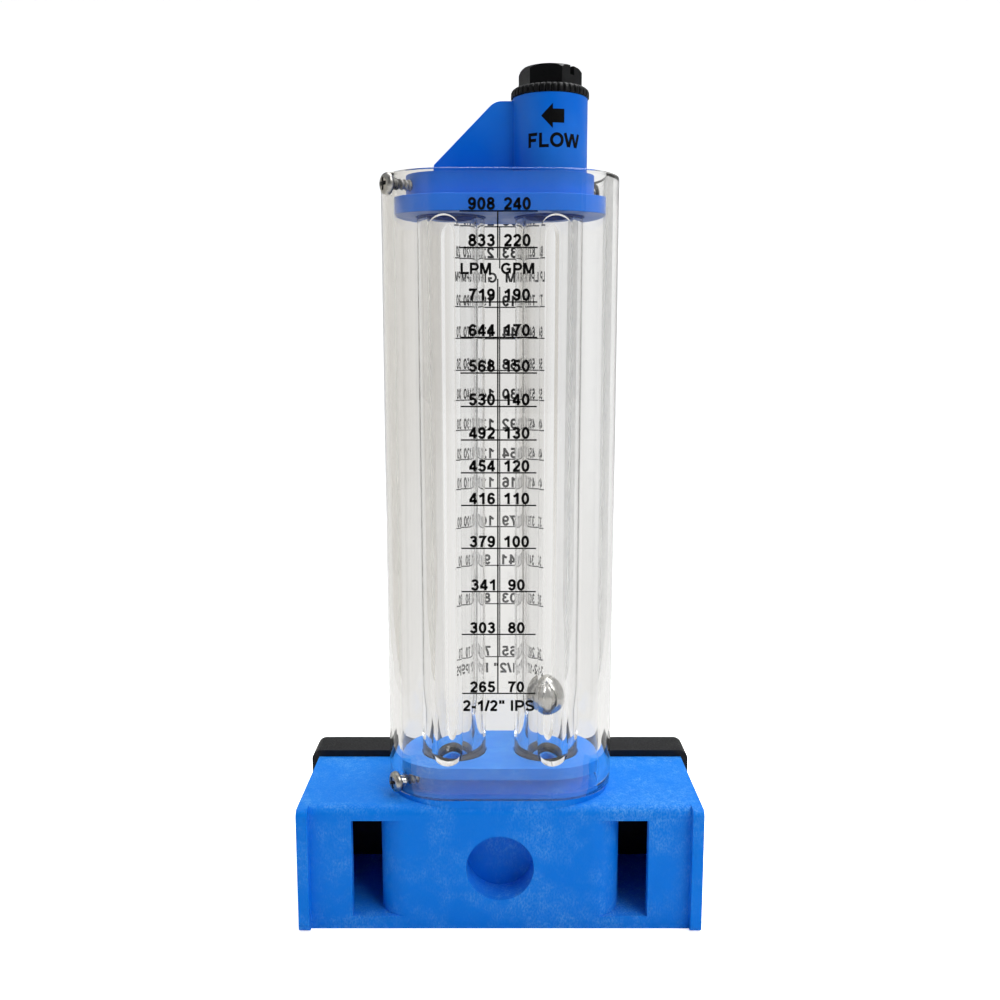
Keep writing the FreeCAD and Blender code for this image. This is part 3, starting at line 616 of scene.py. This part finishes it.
class ROTAMETER_OT_clear_body(bpy.types.Operator):
    """Mould the clear body: outer wall, two tubes, webs, bores and screw holes"""
    bl_idname = "rotameter.clear_body"
    bl_label = "Clear body"

    def execute(self, context):
        sizes = context.scene.rotameter_clear_body
        steps = sizes.arc_steps
        body = loft("clear_body_moulding", self.wall_rings(sizes))
        hollow = obround(BODY_SIZE.x - 2 * WALL, BODY_SIZE.y - 2 * WALL, steps)
        hollow = prism("hollow", hollow, BODY_LOW.z - PAST, BODY_HIGH.z + PAST)
        combine(body, [hollow], "DIFFERENCE")
        tubes = []
        pressed = sizes.ring_squeeze
        for side in (-1, 1):
            outside = circle(side * TUBE_X, sizes.tube_width / 2, 2 * steps)
            tubes.append(prism("tube", outside, RING_LOW - pressed, RING_HIGH + pressed))
            tubes.append(self.web(sizes, side * (TUBE_X + sizes.web_outward)))
        combine(body, tubes, "UNION")
        bores = [self.bore(sizes, side * TUBE_X) for side in (-1, 1)]
        bores += [self.screw_hole(sizes, node) for node in SCREWS]
        combine(body, bores, "DIFFERENCE")
        smooth(body, 30)
        dress(body, "meter_body", moulded_acrylic(finish_colours()))
        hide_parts("clear_body")
        return {"FINISHED"}

    def wall_rings(self, sizes):
        """Outlines of the outer wall, low to high, with its rounded rims."""
        rim = sizes.rim_radius
        rings = []
        for at, way in ((BODY_LOW.z, 1), (BODY_HIGH.z, -1)):
            corner = []
            for angle in quarter_turn(4):
                inset = rim * (1 - math.sin(angle))
                rise = rim * (1 - math.cos(angle))
                outline = obround(
                    BODY_SIZE.x - 2 * inset, BODY_SIZE.y - 2 * inset, sizes.arc_steps)
                corner.append(raised(outline, at + way * rise))
            rings += corner[::way]
        return rings

    def web(self, sizes, x):
        """Slab from the front wall to the back wall with round lower and upper ends."""
        half = sizes.web_width / 2
        reach = (BODY_SIZE.y - WALL) / 2
        low, high = RING_LOW + sizes.web_lift, RING_HIGH - sizes.web_lift
        outline = [(x + half * math.cos(angle), at + half * math.sin(angle))
                   for at, start in ((low + half, 180), (high - half, 0))
                   for angle in half_turn(start, 32)]
        return loft("web", [[(px, AXIS_Y + y, pz) for px, pz in outline] for y in (-reach, reach)])

    def bore(self, sizes, x):
        """Inlet, tapered ball seat and tapered metering bore of one tube."""
        seat = BALL_MIDDLE.z - sizes.seat_drop
        past = sizes.ring_squeeze + 0.2 * MM
        profile = (
            (sizes.inlet_bore, RING_LOW - past),
            (sizes.inlet_bore, seat),
            (sizes.tube_bore, seat + sizes.seat_rise),
            (sizes.tube_bore_top, RING_HIGH + past),
        )
        return loft("bore", [raised(circle(x, width / 2, 2 * sizes.arc_steps), z)
                             for width, z in profile])

    def screw_hole(self, sizes, node):
        hole = bmesh.new()
        bmesh.ops.create_cone(
            hole, cap_ends=True, segments=32, radius1=sizes.screw_hole / 2,
            radius2=sizes.screw_hole / 2, depth=3 * WALL)
        hole.transform(screw_place(node, BODY_SIZE.y / 2 - WALL / 2))
        return to_object("screw_hole", hole)


# Left figure, right figure and height above the floor of each scale line.
SCALE_MARKS = [
    (908, 240, 244.3), (833, 220, 233.0), (719, 190, 216.0), (644, 170, 204.8), (568, 150, 193.4),
    (530, 140, 182.6), (492, 130, 171.7), (454, 120, 160.9), (416, 110, 150.1), (379, 100, 135.7),
    (341, 90, 121.0), (303, 80, 106.3), (265, 70, 85.7),
]
UNITS_MIDDLE = 226.5
PIPE_SIZE_MIDDLE = 81.4


# Pen strokes of each sign, on a cap height of 1: (advance, strokes). A stroke lists points and
# arcs; an arc is (centre x, centre z, radius x, radius z, start, end), in degrees.
SIGNS = {
    "0": (0.777, [[(0.388, 0.5, 0.235, 0.41, 0, 360)]]),
    "1": (0.777, [[(0.49, 0.0), (0.49, 1.0)], [(0.44, 0.86), (0.3, 0.74), (0.14, 0.67)]]),
    "2": (0.777, [
        [(0.385, 0.685, 0.235, 0.225, 172, -28), (0.45, 0.4), (0.3, 0.26), (0.2, 0.13),
         (0.18, 0.05)],
        [(0.08, 0.09), (0.69, 0.09)]]),
    "3": (0.777, [
        [(0.375, 0.73, 0.205, 0.18, 168, -90), (0.3, 0.55)],
        [(0.3, 0.54), (0.375, 0.315, 0.235, 0.225, 90, -168)]]),
    "4": (0.777, [
        [(0.52, 0.0), (0.52, 1.0)], [(0.49, 0.92), (0.12, 0.33)], [(0.05, 0.28), (0.73, 0.28)]]),
    "5": (0.777, [
        [(0.67, 0.91), (0.25, 0.91), (0.18, 0.5)],
        [(0.38, 0.33, 0.24, 0.24, 142, -165)]]),
    "6": (0.777, [
        [(0.395, 0.32, 0.225, 0.23, 0, 360)],
        [(0.41, 0.57, 0.24, 0.34, 28, 180), (0.17, 0.34)]]),
    "7": (0.777, [[(0.08, 0.91), (0.62, 0.91), (0.47, 0.68), (0.36, 0.4), (0.31, 0.0)]]),
    "8": (0.777, [[(0.388, 0.735, 0.195, 0.175, 0, 360)], [(0.388, 0.305, 0.235, 0.215, 0, 360)]]),
    "9": (0.777, [
        [(0.381, 0.68, 0.225, 0.23, 0, 360)],
        [(0.366, 0.43, 0.24, 0.34, 208, 360), (0.606, 0.66)]]),
    "F": (0.853, [[(0.19, 0.0), (0.19, 0.91), (0.79, 0.91)], [(0.19, 0.5), (0.7, 0.5)]]),
    "G": (1.086, [[(0.55, 0.5, 0.385, 0.41, 40, 322), (0.88, 0.22), (0.88, 0.44), (0.56, 0.44)]]),
    "I": (0.388, [[(0.194, 0.0), (0.194, 1.0)]]),
    "L": (0.853, [[(0.19, 1.0), (0.19, 0.09), (0.8, 0.09)]]),
    "M": (1.163, [
        [(0.18, 0.0), (0.18, 1.0)], [(0.98, 0.0), (0.98, 1.0)],
        [(0.25, 0.98), (0.55, 0.06)], [(0.61, 0.06), (0.91, 0.98)]]),
    "O": (1.086, [[(0.54, 0.5, 0.4, 0.41, 0, 360)]]),
    "P": (0.93, [[(0.19, 0.0), (0.19, 0.91), (0.55, 0.665, 0.25, 0.245, 90, -90), (0.24, 0.42)]]),
    "S": (0.93, [[
        (0.46, 0.72, 0.28, 0.19, 22, 250), (0.47, 0.28, 0.305, 0.19, 70, -165)]]),
    "W": (1.318, [
        [(0.07, 1.0), (0.34, 0.03)], [(0.37, 0.03), (0.64, 0.97)],
        [(0.68, 0.97), (0.95, 0.03)], [(0.98, 0.03), (1.25, 1.0)]]),
    "-": (0.465, [[(0.05, 0.35), (0.42, 0.35)]]),
    "/": (0.388, [[(0.05, 0.0), (0.34, 1.0)]]),
    '"': (0.66, [[(0.2, 1.0), (0.2, 0.66)], [(0.46, 1.0), (0.46, 0.66)]]),
    " ": (0.388, []),
}
PEN = 0.222  # width of a stroke, on a cap height of 1


def stroke_points(stroke):
    """Points along one pen stroke, and whether it closes on itself."""
    points = []
    closed = False
    for item in stroke:
        if len(item) == 2:
            points.append(Vector(item))
            continue
        x, z, across, up, start, end = item
        closed = abs(end - start) == 360
        steps = max(6, int(abs(end - start) / 10))
        for step in range(steps if closed else steps + 1):
            turn = math.radians(start + (end - start) * step / steps)
            points.append(Vector((x + across * math.cos(turn), z + up * math.sin(turn))))
    return points, closed


def pen_outline(points, closed, width):
    """Left and right edge points of a stroke of even width, mitred where it bends."""
    edges = []
    for index, point in enumerate(points):
        before = points[index - 1] if index or closed else None
        after = points[(index + 1) % len(points)] if index + 1 < len(points) or closed else None
        ways = [way.normalized() for way in (
            point - before if before else None, after - point if after else None) if way]
        normals = [Vector((-way.y, way.x)) for way in ways]
        middle_way = sum(normals, Vector((0, 0))).normalized()
        reach = width / 2 / max(0.5, middle_way.dot(normals[0]))
        edges.append((point + reach * middle_way, point - reach * middle_way))
    return edges


def lettering(words, height, align="CENTER"):
    """Flat bold lettering in the XZ plane, readable from the front, standing on z = 0."""
    verts, faces = [], []
    cursor = 0.0
    for sign in words:
        advance, strokes = SIGNS[sign]
        for stroke in strokes:
            points, closed = stroke_points(stroke)
            edges = pen_outline(points, closed, PEN)
            first = len(verts)
            for left, right in edges:
                verts += [(cursor + left.x, left.y), (cursor + right.x, right.y)]
            count = len(edges)
            for index in range(count if closed else count - 1):
                i, j = first + 2 * index, first + 2 * ((index + 1) % count)
                faces.append((i, i + 1, j + 1, j))
        cursor += advance
    low = min(x for x, z in verts)
    high = max(x for x, z in verts)
    shift = {"LEFT": low, "RIGHT": high, "CENTER": (low + high) / 2}[align]
    points = [((x - shift) * height, 0, z * height) for x, z in verts]
    return plain_mesh("lettering", points, faces)


def join(name, meshes):
    """One object from several meshes, each given with the transform that places it."""
    joined = bmesh.new()
    for data, place in meshes:
        data.transform(place)
        joined.from_mesh(data)
        bpy.data.meshes.remove(data)
    data = bpy.data.meshes.new(name)
    joined.to_mesh(data)
    joined.free()
    return link(name, data)


def bar(x0, x1, z0, z1):
    """Flat upright bar in the XZ plane."""
    return plain_mesh("bar", [(x0, 0, z0), (x1, 0, z0), (x1, 0, z1), (x0, 0, z1)], [(0, 1, 2, 3)])


class ROTAMETER_OT_scale(bpy.types.Operator):
    """Print the flow scale on the front and the back of the clear body"""
    bl_idname = "rotameter.scale"
    bl_label = "Printed scale"

    def execute(self, context):
        sizes = context.scene.rotameter_scale
        ink = screen_ink(finish_colours())
        for face, way, offset in (("front", -1, sizes.offset), ("back", 1, sizes.back_offset)):
            print_y = AXIS_Y + way * (BODY_SIZE.y / 2 + sizes.ink)
            turn = Matrix.Rotation(0 if way < 0 else math.pi, 4, "Z")
            place = Matrix.Translation((offset, print_y, 0)) @ turn
            marks = [(data, place @ spot) for data, spot in self.marks(sizes)]
            scale = join(f"scale_print_{face}", marks)
            dress(scale, "meter_body", ink)
        return {"FINISHED"}

    def marks(self, sizes):
        """Every line and figure of the scale, about x = 0, with its place."""
        half = sizes.line_width / 2
        reach = sizes.line_length / 2
        aside = sizes.line_aside
        top, bottom = SCALE_MARKS[0][2] * MM, SCALE_MARKS[-1][2] * MM
        rest = UNITS_MIDDLE * MM
        room = 0.85 * sizes.digit_height  # the upright line stops short of the unit names
        marks = []

        def line(*edges):
            marks.append((bar(*edges), Matrix.Identity(4)))

        def words(text, height, align, x, foot):
            marks.append((lettering(text, height, align), Matrix.Translation((x, 0, foot))))

        line(-half, half, rest + room, top)
        line(-half, half, bottom, rest - room)
        for left, right, height in SCALE_MARKS:
            at = height * MM
            foot = at + sizes.digit_lift
            line(aside - reach, aside + reach, at - half, at + half)
            words(str(left), sizes.digit_height, "RIGHT", -sizes.left_gap, foot)
            words(str(right), sizes.digit_height, "CENTER", sizes.right_middle, foot)
        foot = rest - sizes.unit_height / 2
        words("LPM", sizes.unit_height, "RIGHT", -sizes.unit_gaps[0], foot)
        words("GPM", sizes.unit_height, "LEFT", sizes.unit_gaps[1], foot)
        foot = PIPE_SIZE_MIDDLE * MM - sizes.size_height / 2
        words('2-1/2" IPS', sizes.size_height, "CENTER", aside, foot)
        return marks


TOWER_RADIUS = 12.55 * MM
INK = 0.02 * MM  # height of the ink on the tower


class ROTAMETER_OT_flow_mark(bpy.types.Operator):
    """Print the flow arrow and the word on the tower, wrapped on its round surface"""
    bl_idname = "rotameter.flow_mark"
    bl_label = "Flow mark"

    def execute(self, context):
        sizes = context.scene.rotameter_flow_mark
        tip = -sizes.arrow_length / 2
        root = tip + sizes.head_length
        head, shaft = sizes.head_height / 2, sizes.shaft_height / 2
        outline = [(tip, 0), (root, -head), (root, -shaft), (-tip, -shaft), (-tip, shaft),
                   (root, shaft), (root, head)]
        arrow = plain_mesh("arrow", [(x, 0, z) for x, z in outline], [tuple(range(len(outline)))])
        arrow_z = MANIFOLD_LOW + sizes.arrow_rise
        word_z = MANIFOLD_LOW + sizes.word_rise
        mark = join("flow_mark", [
            (arrow, Matrix.Translation((sizes.arrow_aside, 0, arrow_z))),
            (lettering("FLOW", sizes.text_height), Matrix.Translation((0, 0, word_z))),
        ])
        self.slice_upright(mark)
        radius = TOWER_RADIUS + INK
        for vertex in mark.data.vertices:
            turn = (vertex.co.x + sizes.around) / radius
            vertex.co.x = TUBE_X + radius * math.sin(turn)
            vertex.co.y = AXIS_Y - radius * math.cos(turn)
        dress(mark, "meter_body", screen_ink(finish_colours()))
        return {"FINISHED"}

    def slice_upright(self, mark):
        """Cut the print into narrow upright strips, so that it can wrap on a round surface."""
        strip, strips = 0.5 * MM, 24
        mesh = bmesh.new()
        mesh.from_mesh(mark.data)
        for step in range(-strips, strips + 1):
            bmesh.ops.bisect_plane(
                mesh, geom=mesh.verts[:] + mesh.edges[:] + mesh.faces[:],
                plane_co=(step * strip, 0, 0), plane_no=(1, 0, 0))
        mesh.to_mesh(mark.data)
        mesh.free()


class ROTAMETER_OT_ball(bpy.types.Operator):
    """Polish the ball float"""
    bl_idname = "rotameter.ball"
    bl_label = "Ball float"

    def execute(self, context):
        mesh = bmesh.new()
        bmesh.ops.create_icosphere(mesh, subdivisions=6, radius=BALL_RADIUS)
        bmesh.ops.translate(mesh, verts=mesh.verts, vec=BALL_MIDDLE)
        ball = to_object("ball_float_polished", mesh)
        ball.data.shade_smooth()
        dress(ball, "float", stainless_steel(finish_colours()))
        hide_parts("ball_float")
        return {"FINISHED"}


def threaded_rod(name, radius, depth, pitch, low, high, steps, taper=0.0):
    """Rod along z with a true helical ridge; taper narrows it towards the low end."""
    rows = max(2, int((high - low) / pitch * 10))
    rings = []
    for row in range(rows + 1):
        z = low + (high - low) * row / rows
        end = max(0.0, min(1.0, (high - z) / pitch, (z - low) / pitch + 0.15))
        narrow = 1 - taper * max(0.0, 1 - (z - low) / (2 * pitch))
        ring = []
        for step, turn in enumerate(full_turn(steps)):
            ridge = 1 - abs(2 * ((z / pitch - step / steps) % 1.0) - 1)
            flat = min(1.0, max(0.0, (ridge - 0.12) / 0.7))
            r = (radius - depth * (1 - flat * end)) * narrow
            ring.append((*polar(r, turn), z))
        rings.append(ring)
    return loft(name, rings)


class ROTAMETER_OT_screws(bpy.types.Operator):
    """Make the four pan-head body screws with cross recesses and threads"""
    bl_idname = "rotameter.screws"
    bl_label = "Body screws"

    def execute(self, context):
        sizes = context.scene.rotameter_fasteners
        steel = headed_steel(finish_colours())
        for index, node in enumerate(SCREWS):
            turn = 0.35 + 0.6 * index  # each recess came to rest at its own angle
            screw = self.make(node, sizes, extent(node).z / 2, turn)
            screw.data.transform(screw_place(node, BODY_SIZE.y / 2))
            smooth(screw, 38)
            dress(screw, "meter_body", steel)
            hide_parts(node)
        return {"FINISHED"}

    def make(self, node, sizes, head, turn):
        """Screw along z with the underside of its head at z = 0."""
        rise = 2.35 * MM
        dome = [(head * 0.96, 0.0), (head, 0.12 * rise), (head, 0.3 * rise)]
        dome += [(head * (0.45 + 0.55 * math.cos(angle)), rise * (0.3 + 0.7 * math.sin(angle)))
                 for angle in quarter_turn(8)[1:]]
        screw = lathe(f"{node}_pan_head", dome)
        wing, reach = sizes.recess_wing / 2, sizes.recess_width / 2
        for quarter in range(2):
            slot = loft("wing", [
                raised(box_outline(0.45 * reach, 0.7 * wing), rise - sizes.recess_depth),
                raised(box_outline(reach, wing), rise + 0.3 * MM)])
            slot.data.transform(Matrix.Rotation(turn + quarter * math.pi / 2, 4, "Z"))
            combine(screw, [slot], "DIFFERENCE")
        shank = threaded_rod(
            "shank", radius=1.78 * MM, depth=0.45 * MM, pitch=sizes.thread_pitch,
            low=-13.9 * MM, high=0.2 * MM, steps=40, taper=0.5)
        combine(screw, [shank], "UNION")
        return screw


SHOULDER = 3.0 * MM  # upper edge of the plug's knurled ring above the mouth of the tower


class ROTAMETER_OT_cleaning_plug(bpy.types.Operator):
    """Mould the cleaning plug: knurled ring, hexagon grip, threaded shank and stem"""
    bl_idname = "rotameter.cleaning_plug"
    bl_label = "Cleaning plug"

    def execute(self, context):
        low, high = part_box("cleaning_plug")
        mouth = TOWER_TOP + 0.2 * MM
        plug = self.knurled_ring(extent("cleaning_plug").x / 2)
        combine(plug, [self.grip(high[2] - mouth)], "UNION")
        for piece in self.shank(context.scene.rotameter_fasteners, low[2] - mouth):
            combine(plug, [piece], "UNION")
        plug.data.transform(Matrix.Translation((TUBE_X, AXIS_Y, mouth)))
        smooth(plug, 32)
        dress(plug, "plug", moulded_nylon(finish_colours()))
        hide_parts("cleaning_plug")
        return {"FINISHED"}

    def knurled_ring(self, radius):
        """Ring that rests on the mouth of the tower, at z = 0, with a rounded upper edge."""
        chamfer, rounding, knurl_depth, knurls = 0.25 * MM, 1.5 * MM, 0.5 * MM, 40
        profile = [(radius - chamfer, 0.0), (radius, chamfer), (radius, SHOULDER - rounding)]
        profile += [(radius - rounding * (1 - math.cos(angle)),
                     SHOULDER - rounding * (1 - math.sin(angle)))
                    for angle in quarter_turn(6)[1:]]
        rings = []
        for around, z in profile:
            ring = []
            for turn in full_turn(knurls * 8):
                wave = abs(math.sin(turn * knurls / 2))
                r = around - knurl_depth * (1 - min(1.0, 1.9 * wave))
                ring.append((*polar(r, turn), z))
            rings.append(ring)
        return loft("cleaning_plug_moulding", rings)

    def grip(self, top):
        """Hexagon with softened corners and a coin slot across its top."""
        corner, turned, half_slot, slot_depth = 10.58 * MM, -11, 1.0 * MM, 3 * MM
        hexagon = [polar(corner, math.radians(60 * side + turned)) for side in range(6)]
        grip = prism("grip", hexagon, SHOULDER - 0.5 * MM, top)
        slope = [(1.0, None), (1.0, 1.6), (-0.1, 1.3), (-0.7, 0.5), (-1.5, 0.08), (-2.3, 0.0)]
        combine(grip, [lathe("slope", [
            (corner + out * MM, 0.0 if down is None else top - down * MM)
            for out, down in slope], 128)], "INTERSECT")
        slot = prism("slot", box_outline(2 * corner, half_slot), top - slot_depth, top + PAST)
        slot.data.transform(Matrix.Rotation(math.radians(150 + turned), 4, "Z"))
        combine(grip, [slot], "DIFFERENCE")
        moulded_radius(grip, 0.28 * MM, 35)
        settle(grip)
        return grip

    def shank(self, sizes, stem_low):
        """Neck, ring groove, thread and stem, from the mouth of the tower down."""
        radius, stem = 10.2 * MM, 3.5 * MM
        groove = radius - 2.05 * MM
        return (
            lathe("neck", [(radius, -1.15 * MM), (radius, 0.1 * MM)]),
            lathe("groove", [(groove, -3.5 * MM), (groove, -1.0 * MM)]),
            threaded_rod("thread", radius, sizes.thread_depth, sizes.plug_pitch,
                         low=-13.0 * MM, high=-3.35 * MM, steps=96),
            lathe("stem", [(stem - 0.4 * MM, stem_low), (stem, stem_low + 0.4 * MM),
                           (stem, -12.8 * MM)], 64),
        )


class ROTAMETER_OT_blue_mouldings(bpy.types.Operator):
    """Finish the blue base, tube plate and manifold"""
    bl_idname = "rotameter.blue_mouldings"
    bl_label = "Blue mouldings"

    def execute(self, context):
        colours = finish_colours()
        filled = glass_filled_polypropylene(colours)
        round_edges("base_housing", 0.5, filled)
        polished = moulded_abs(colours)
        round_edges("top_manifold", 0.4, polished)
        round_edges("tube_plate", 0.3, polished)
        paint("pitot_probe", filled)
        return {"FINISHED"}


class ROTAMETER_OT_rubber(bpy.types.Operator):
    """Finish the saddle pad, the probe seal and the sealing rings"""
    bl_idname = "rotameter.rubber"
    bl_label = "Rubber"

    def execute(self, context):
        colours = finish_colours()
        rubber = moulded_rubber("epdm_rubber_moulded", colours.rubber, colours.rubber_bloom)
        round_edges("saddle_pad", 0.8, rubber)
        silicone = moulded_rubber("silicone_rubber_moulded", colours.silicone, colours.manifold)
        for node in sorted(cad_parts):
            if node.startswith("upper_ring"):
                paint(node, silicone)
            elif node.startswith("lower_ring"):
                self.pressed_ring(context, node, rubber)
            elif "ring" in node or node == "probe_seal":
                paint(node, rubber)
        return {"FINISHED"}

    def pressed_ring(self, context, node, rubber):
        """Sealing ring flattened in its seat by the end of the tube; its narrow inside lays the
        dark rubber over the seat floor as painted shade of the inlet passage.
        """
        sizes = context.scene.rotameter_rubber
        tubes = context.scene.rotameter_clear_body
        steps = 2 * tubes.arc_steps
        x = middle(node).x
        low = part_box(node)[0][2]
        high = RING_LOW - tubes.ring_squeeze + sizes.ring_bite
        ring = prism(f"{node}_pressed", circle(x, sizes.ring_outside / 2, steps), low, high)
        inside = circle(x, sizes.ring_inside / 2, steps)
        combine(ring, [prism("inside", inside, low - PAST, high + PAST)], "DIFFERENCE")
        smooth(ring, 30)
        dress(ring, "meter_body", rubber)
        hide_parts(node)


# Name, place, width, height in metres and power in watts of each lamp.
LAMPS = (
    ("key_softbox", (0.75, -0.75, 1.15), 0.8, 0.8, 9.5),
    ("fill_softbox", (-0.95, -0.8, 0.6), 0.9, 0.9, 0.7),
    ("top_softbox", (0.25, 0.35, 1.4), 1.2, 0.9, 13.0),
)


class ROTAMETER_OT_stage(bpy.types.Operator):
    """Set the paper floor and backdrop, the lamps and the camera"""
    bl_idname = "rotameter.stage"
    bl_label = "Stage"

    def execute(self, context):
        sizes = context.scene.rotameter_stage
        self.sweep(backdrop_paper(sizes.floor_colour))
        for side, grey in ((-1, sizes.left_card), (1, sizes.right_card)):
            self.card(side, flag_card(grey))
        for lamp in LAMPS:
            self.lamp(*lamp)
        self.world(context)
        self.camera(context, sizes)
        return {"FINISHED"}

    def sheet(self, name, points, faces, material):
        """Sheet of paper or card."""
        data = plain_mesh(name, points, faces)
        data.materials.append(material)
        return link(name, data)

    def sweep(self, paper):
        """Paper that runs along the floor and curves up behind the meter."""
        width, front, back, height, bend = 6.0, -3.0, 2.2, 3.5, 0.8
        profile = [(front, 0.0), (back - bend, 0.0)]
        profile += [(back - bend + bend * math.sin(angle), bend - bend * math.cos(angle))
                    for angle in quarter_turn(12)[1:]]
        profile.append((back, height))
        points = [(x, y, z) for y, z in profile for x in (-width / 2, width / 2)]
        faces = [(2 * i, 2 * i + 1, 2 * i + 3, 2 * i + 2) for i in range(len(profile) - 1)]
        sheet = self.sheet("paper_sweep", points, faces, paper)
        sheet.data.shade_smooth()

    def card(self, side, grey):
        """Upright grey card beside the meter: no shadow, and unseen by the camera."""
        x, front, back, height = side * 0.27, -0.2, 0.35, 0.36
        points = [(x, front, 0), (x, back, 0), (x, back, height), (x, front, height)]
        card = self.sheet("flag_card", points, [(0, 1, 2, 3)], grey)
        card.visible_camera = False
        card.visible_shadow = False

    def lamp(self, name, spot, width, height, power):
        """Softbox turned towards the middle of the meter."""
        light = bpy.data.lights.new(name, "AREA")
        light.shape = "RECTANGLE"
        light.size = width
        light.size_y = height
        light.energy = power
        lamp = link(name, light)
        lamp.location = spot
        aim = Vector((0, AXIS_Y, 0.14)) - Vector(spot)
        lamp.rotation_euler = aim.to_track_quat("-Z", "Y").to_euler()

    def world(self, context):
        """Room: dark in front, a pale ceiling, white behind and pale walls through clear parts."""
        world = bpy.data.worlds.new("studio_room")
        world.use_nodes = True
        tree = world.node_tree
        tree.nodes.clear()

        def light(colour, strength):
            return add(tree, "ShaderNodeBackground", {
                "Color": colour, "Strength": strength}).outputs[0]

        rays = add(tree, "ShaderNodeLightPath").outputs
        way = add(tree, "ShaderNodeTexCoord").outputs["Generated"]
        ceiling = ramp(tree, along(tree, way, "Z"), 0.0, 0.8, 0.14, 0.6)
        dark_front = ramp(tree, along(tree, way, "Y"), -0.8, 0.1, 0.3, 1.0)
        room = light((0.92, 0.96, 1.0, 1.0), combined(tree, "MULTIPLY", ceiling, dark_front))
        walls = light((0.97, 0.98, 1.0, 1.0), 0.45)
        inside = choose(tree, rays["Is Transmission Ray"], room, walls)
        either = choose(tree, rays["Is Camera Ray"], inside, light(WHITE, 1.0))
        add(tree, "ShaderNodeOutputWorld", {"Surface": either})
        context.scene.world = world

    def camera(self, context, sizes):
        camera = link("camera", bpy.data.cameras.new("camera"))
        camera.data.lens = sizes.focal_length
        camera.data.sensor_width = 36.0
        camera.data.clip_start = 0.01
        camera.location = (0, AXIS_Y - sizes.camera_distance, sizes.camera_height)
        camera.rotation_euler = (math.pi / 2 - sizes.camera_pitch, 0, 0)
        context.scene.camera = camera
        context.scene.view_settings.view_transform = "Standard"


class ROTAMETER_PT_panel(bpy.types.Panel):
    """Rotameter pieces and sizes"""
    bl_idname = "ROTAMETER_PT_panel"
    bl_label = "Rotameter"
    bl_space_type = "VIEW_3D"
    bl_region_type = "UI"
    bl_category = "Rotameter"

    def draw(self, context):
        for operator in OPERATORS:
            self.layout.operator(operator.bl_idname)
        for name, group in GROUPS.items():
            column = self.layout.column(heading=name)
            for item in group.__annotations__:
                column.prop(getattr(context.scene, name), item)


GROUPS = {
    "rotameter_clear_body": ClearBodySizes,
    "rotameter_scale": ScaleSizes,
    "rotameter_flow_mark": FlowMarkSizes,
    "rotameter_fasteners": FastenerSizes,
    "rotameter_rubber": RubberSizes,
    "rotameter_colours": FinishColours,
    "rotameter_stage": StageSizes,
}
OPERATORS = (
    ROTAMETER_OT_stage,
    ROTAMETER_OT_blue_mouldings,
    ROTAMETER_OT_rubber,
    ROTAMETER_OT_clear_body,
    ROTAMETER_OT_scale,
    ROTAMETER_OT_flow_mark,
    ROTAMETER_OT_ball,
    ROTAMETER_OT_screws,
    ROTAMETER_OT_cleaning_plug,
)


def register():
    for group in GROUPS.values():
        bpy.utils.register_class(group)
    for operator in OPERATORS:
        bpy.utils.register_class(operator)
    bpy.utils.register_class(ROTAMETER_PT_panel)
    for name, group in GROUPS.items():
        setattr(bpy.types.Scene, name, bpy.props.PointerProperty(type=group))


def unregister():
    for name in GROUPS:
        delattr(bpy.types.Scene, name)
    bpy.utils.unregister_class(ROTAMETER_PT_panel)
    for operator in reversed(OPERATORS):
        bpy.utils.unregister_class(operator)
    for group in reversed(GROUPS.values()):
        bpy.utils.unregister_class(group)


def main():
    register()
    for operator in OPERATORS:
        family, name = operator.bl_idname.split(".")
        getattr(getattr(bpy.ops, family), name)()


if __name__ == "__main__":
    main()
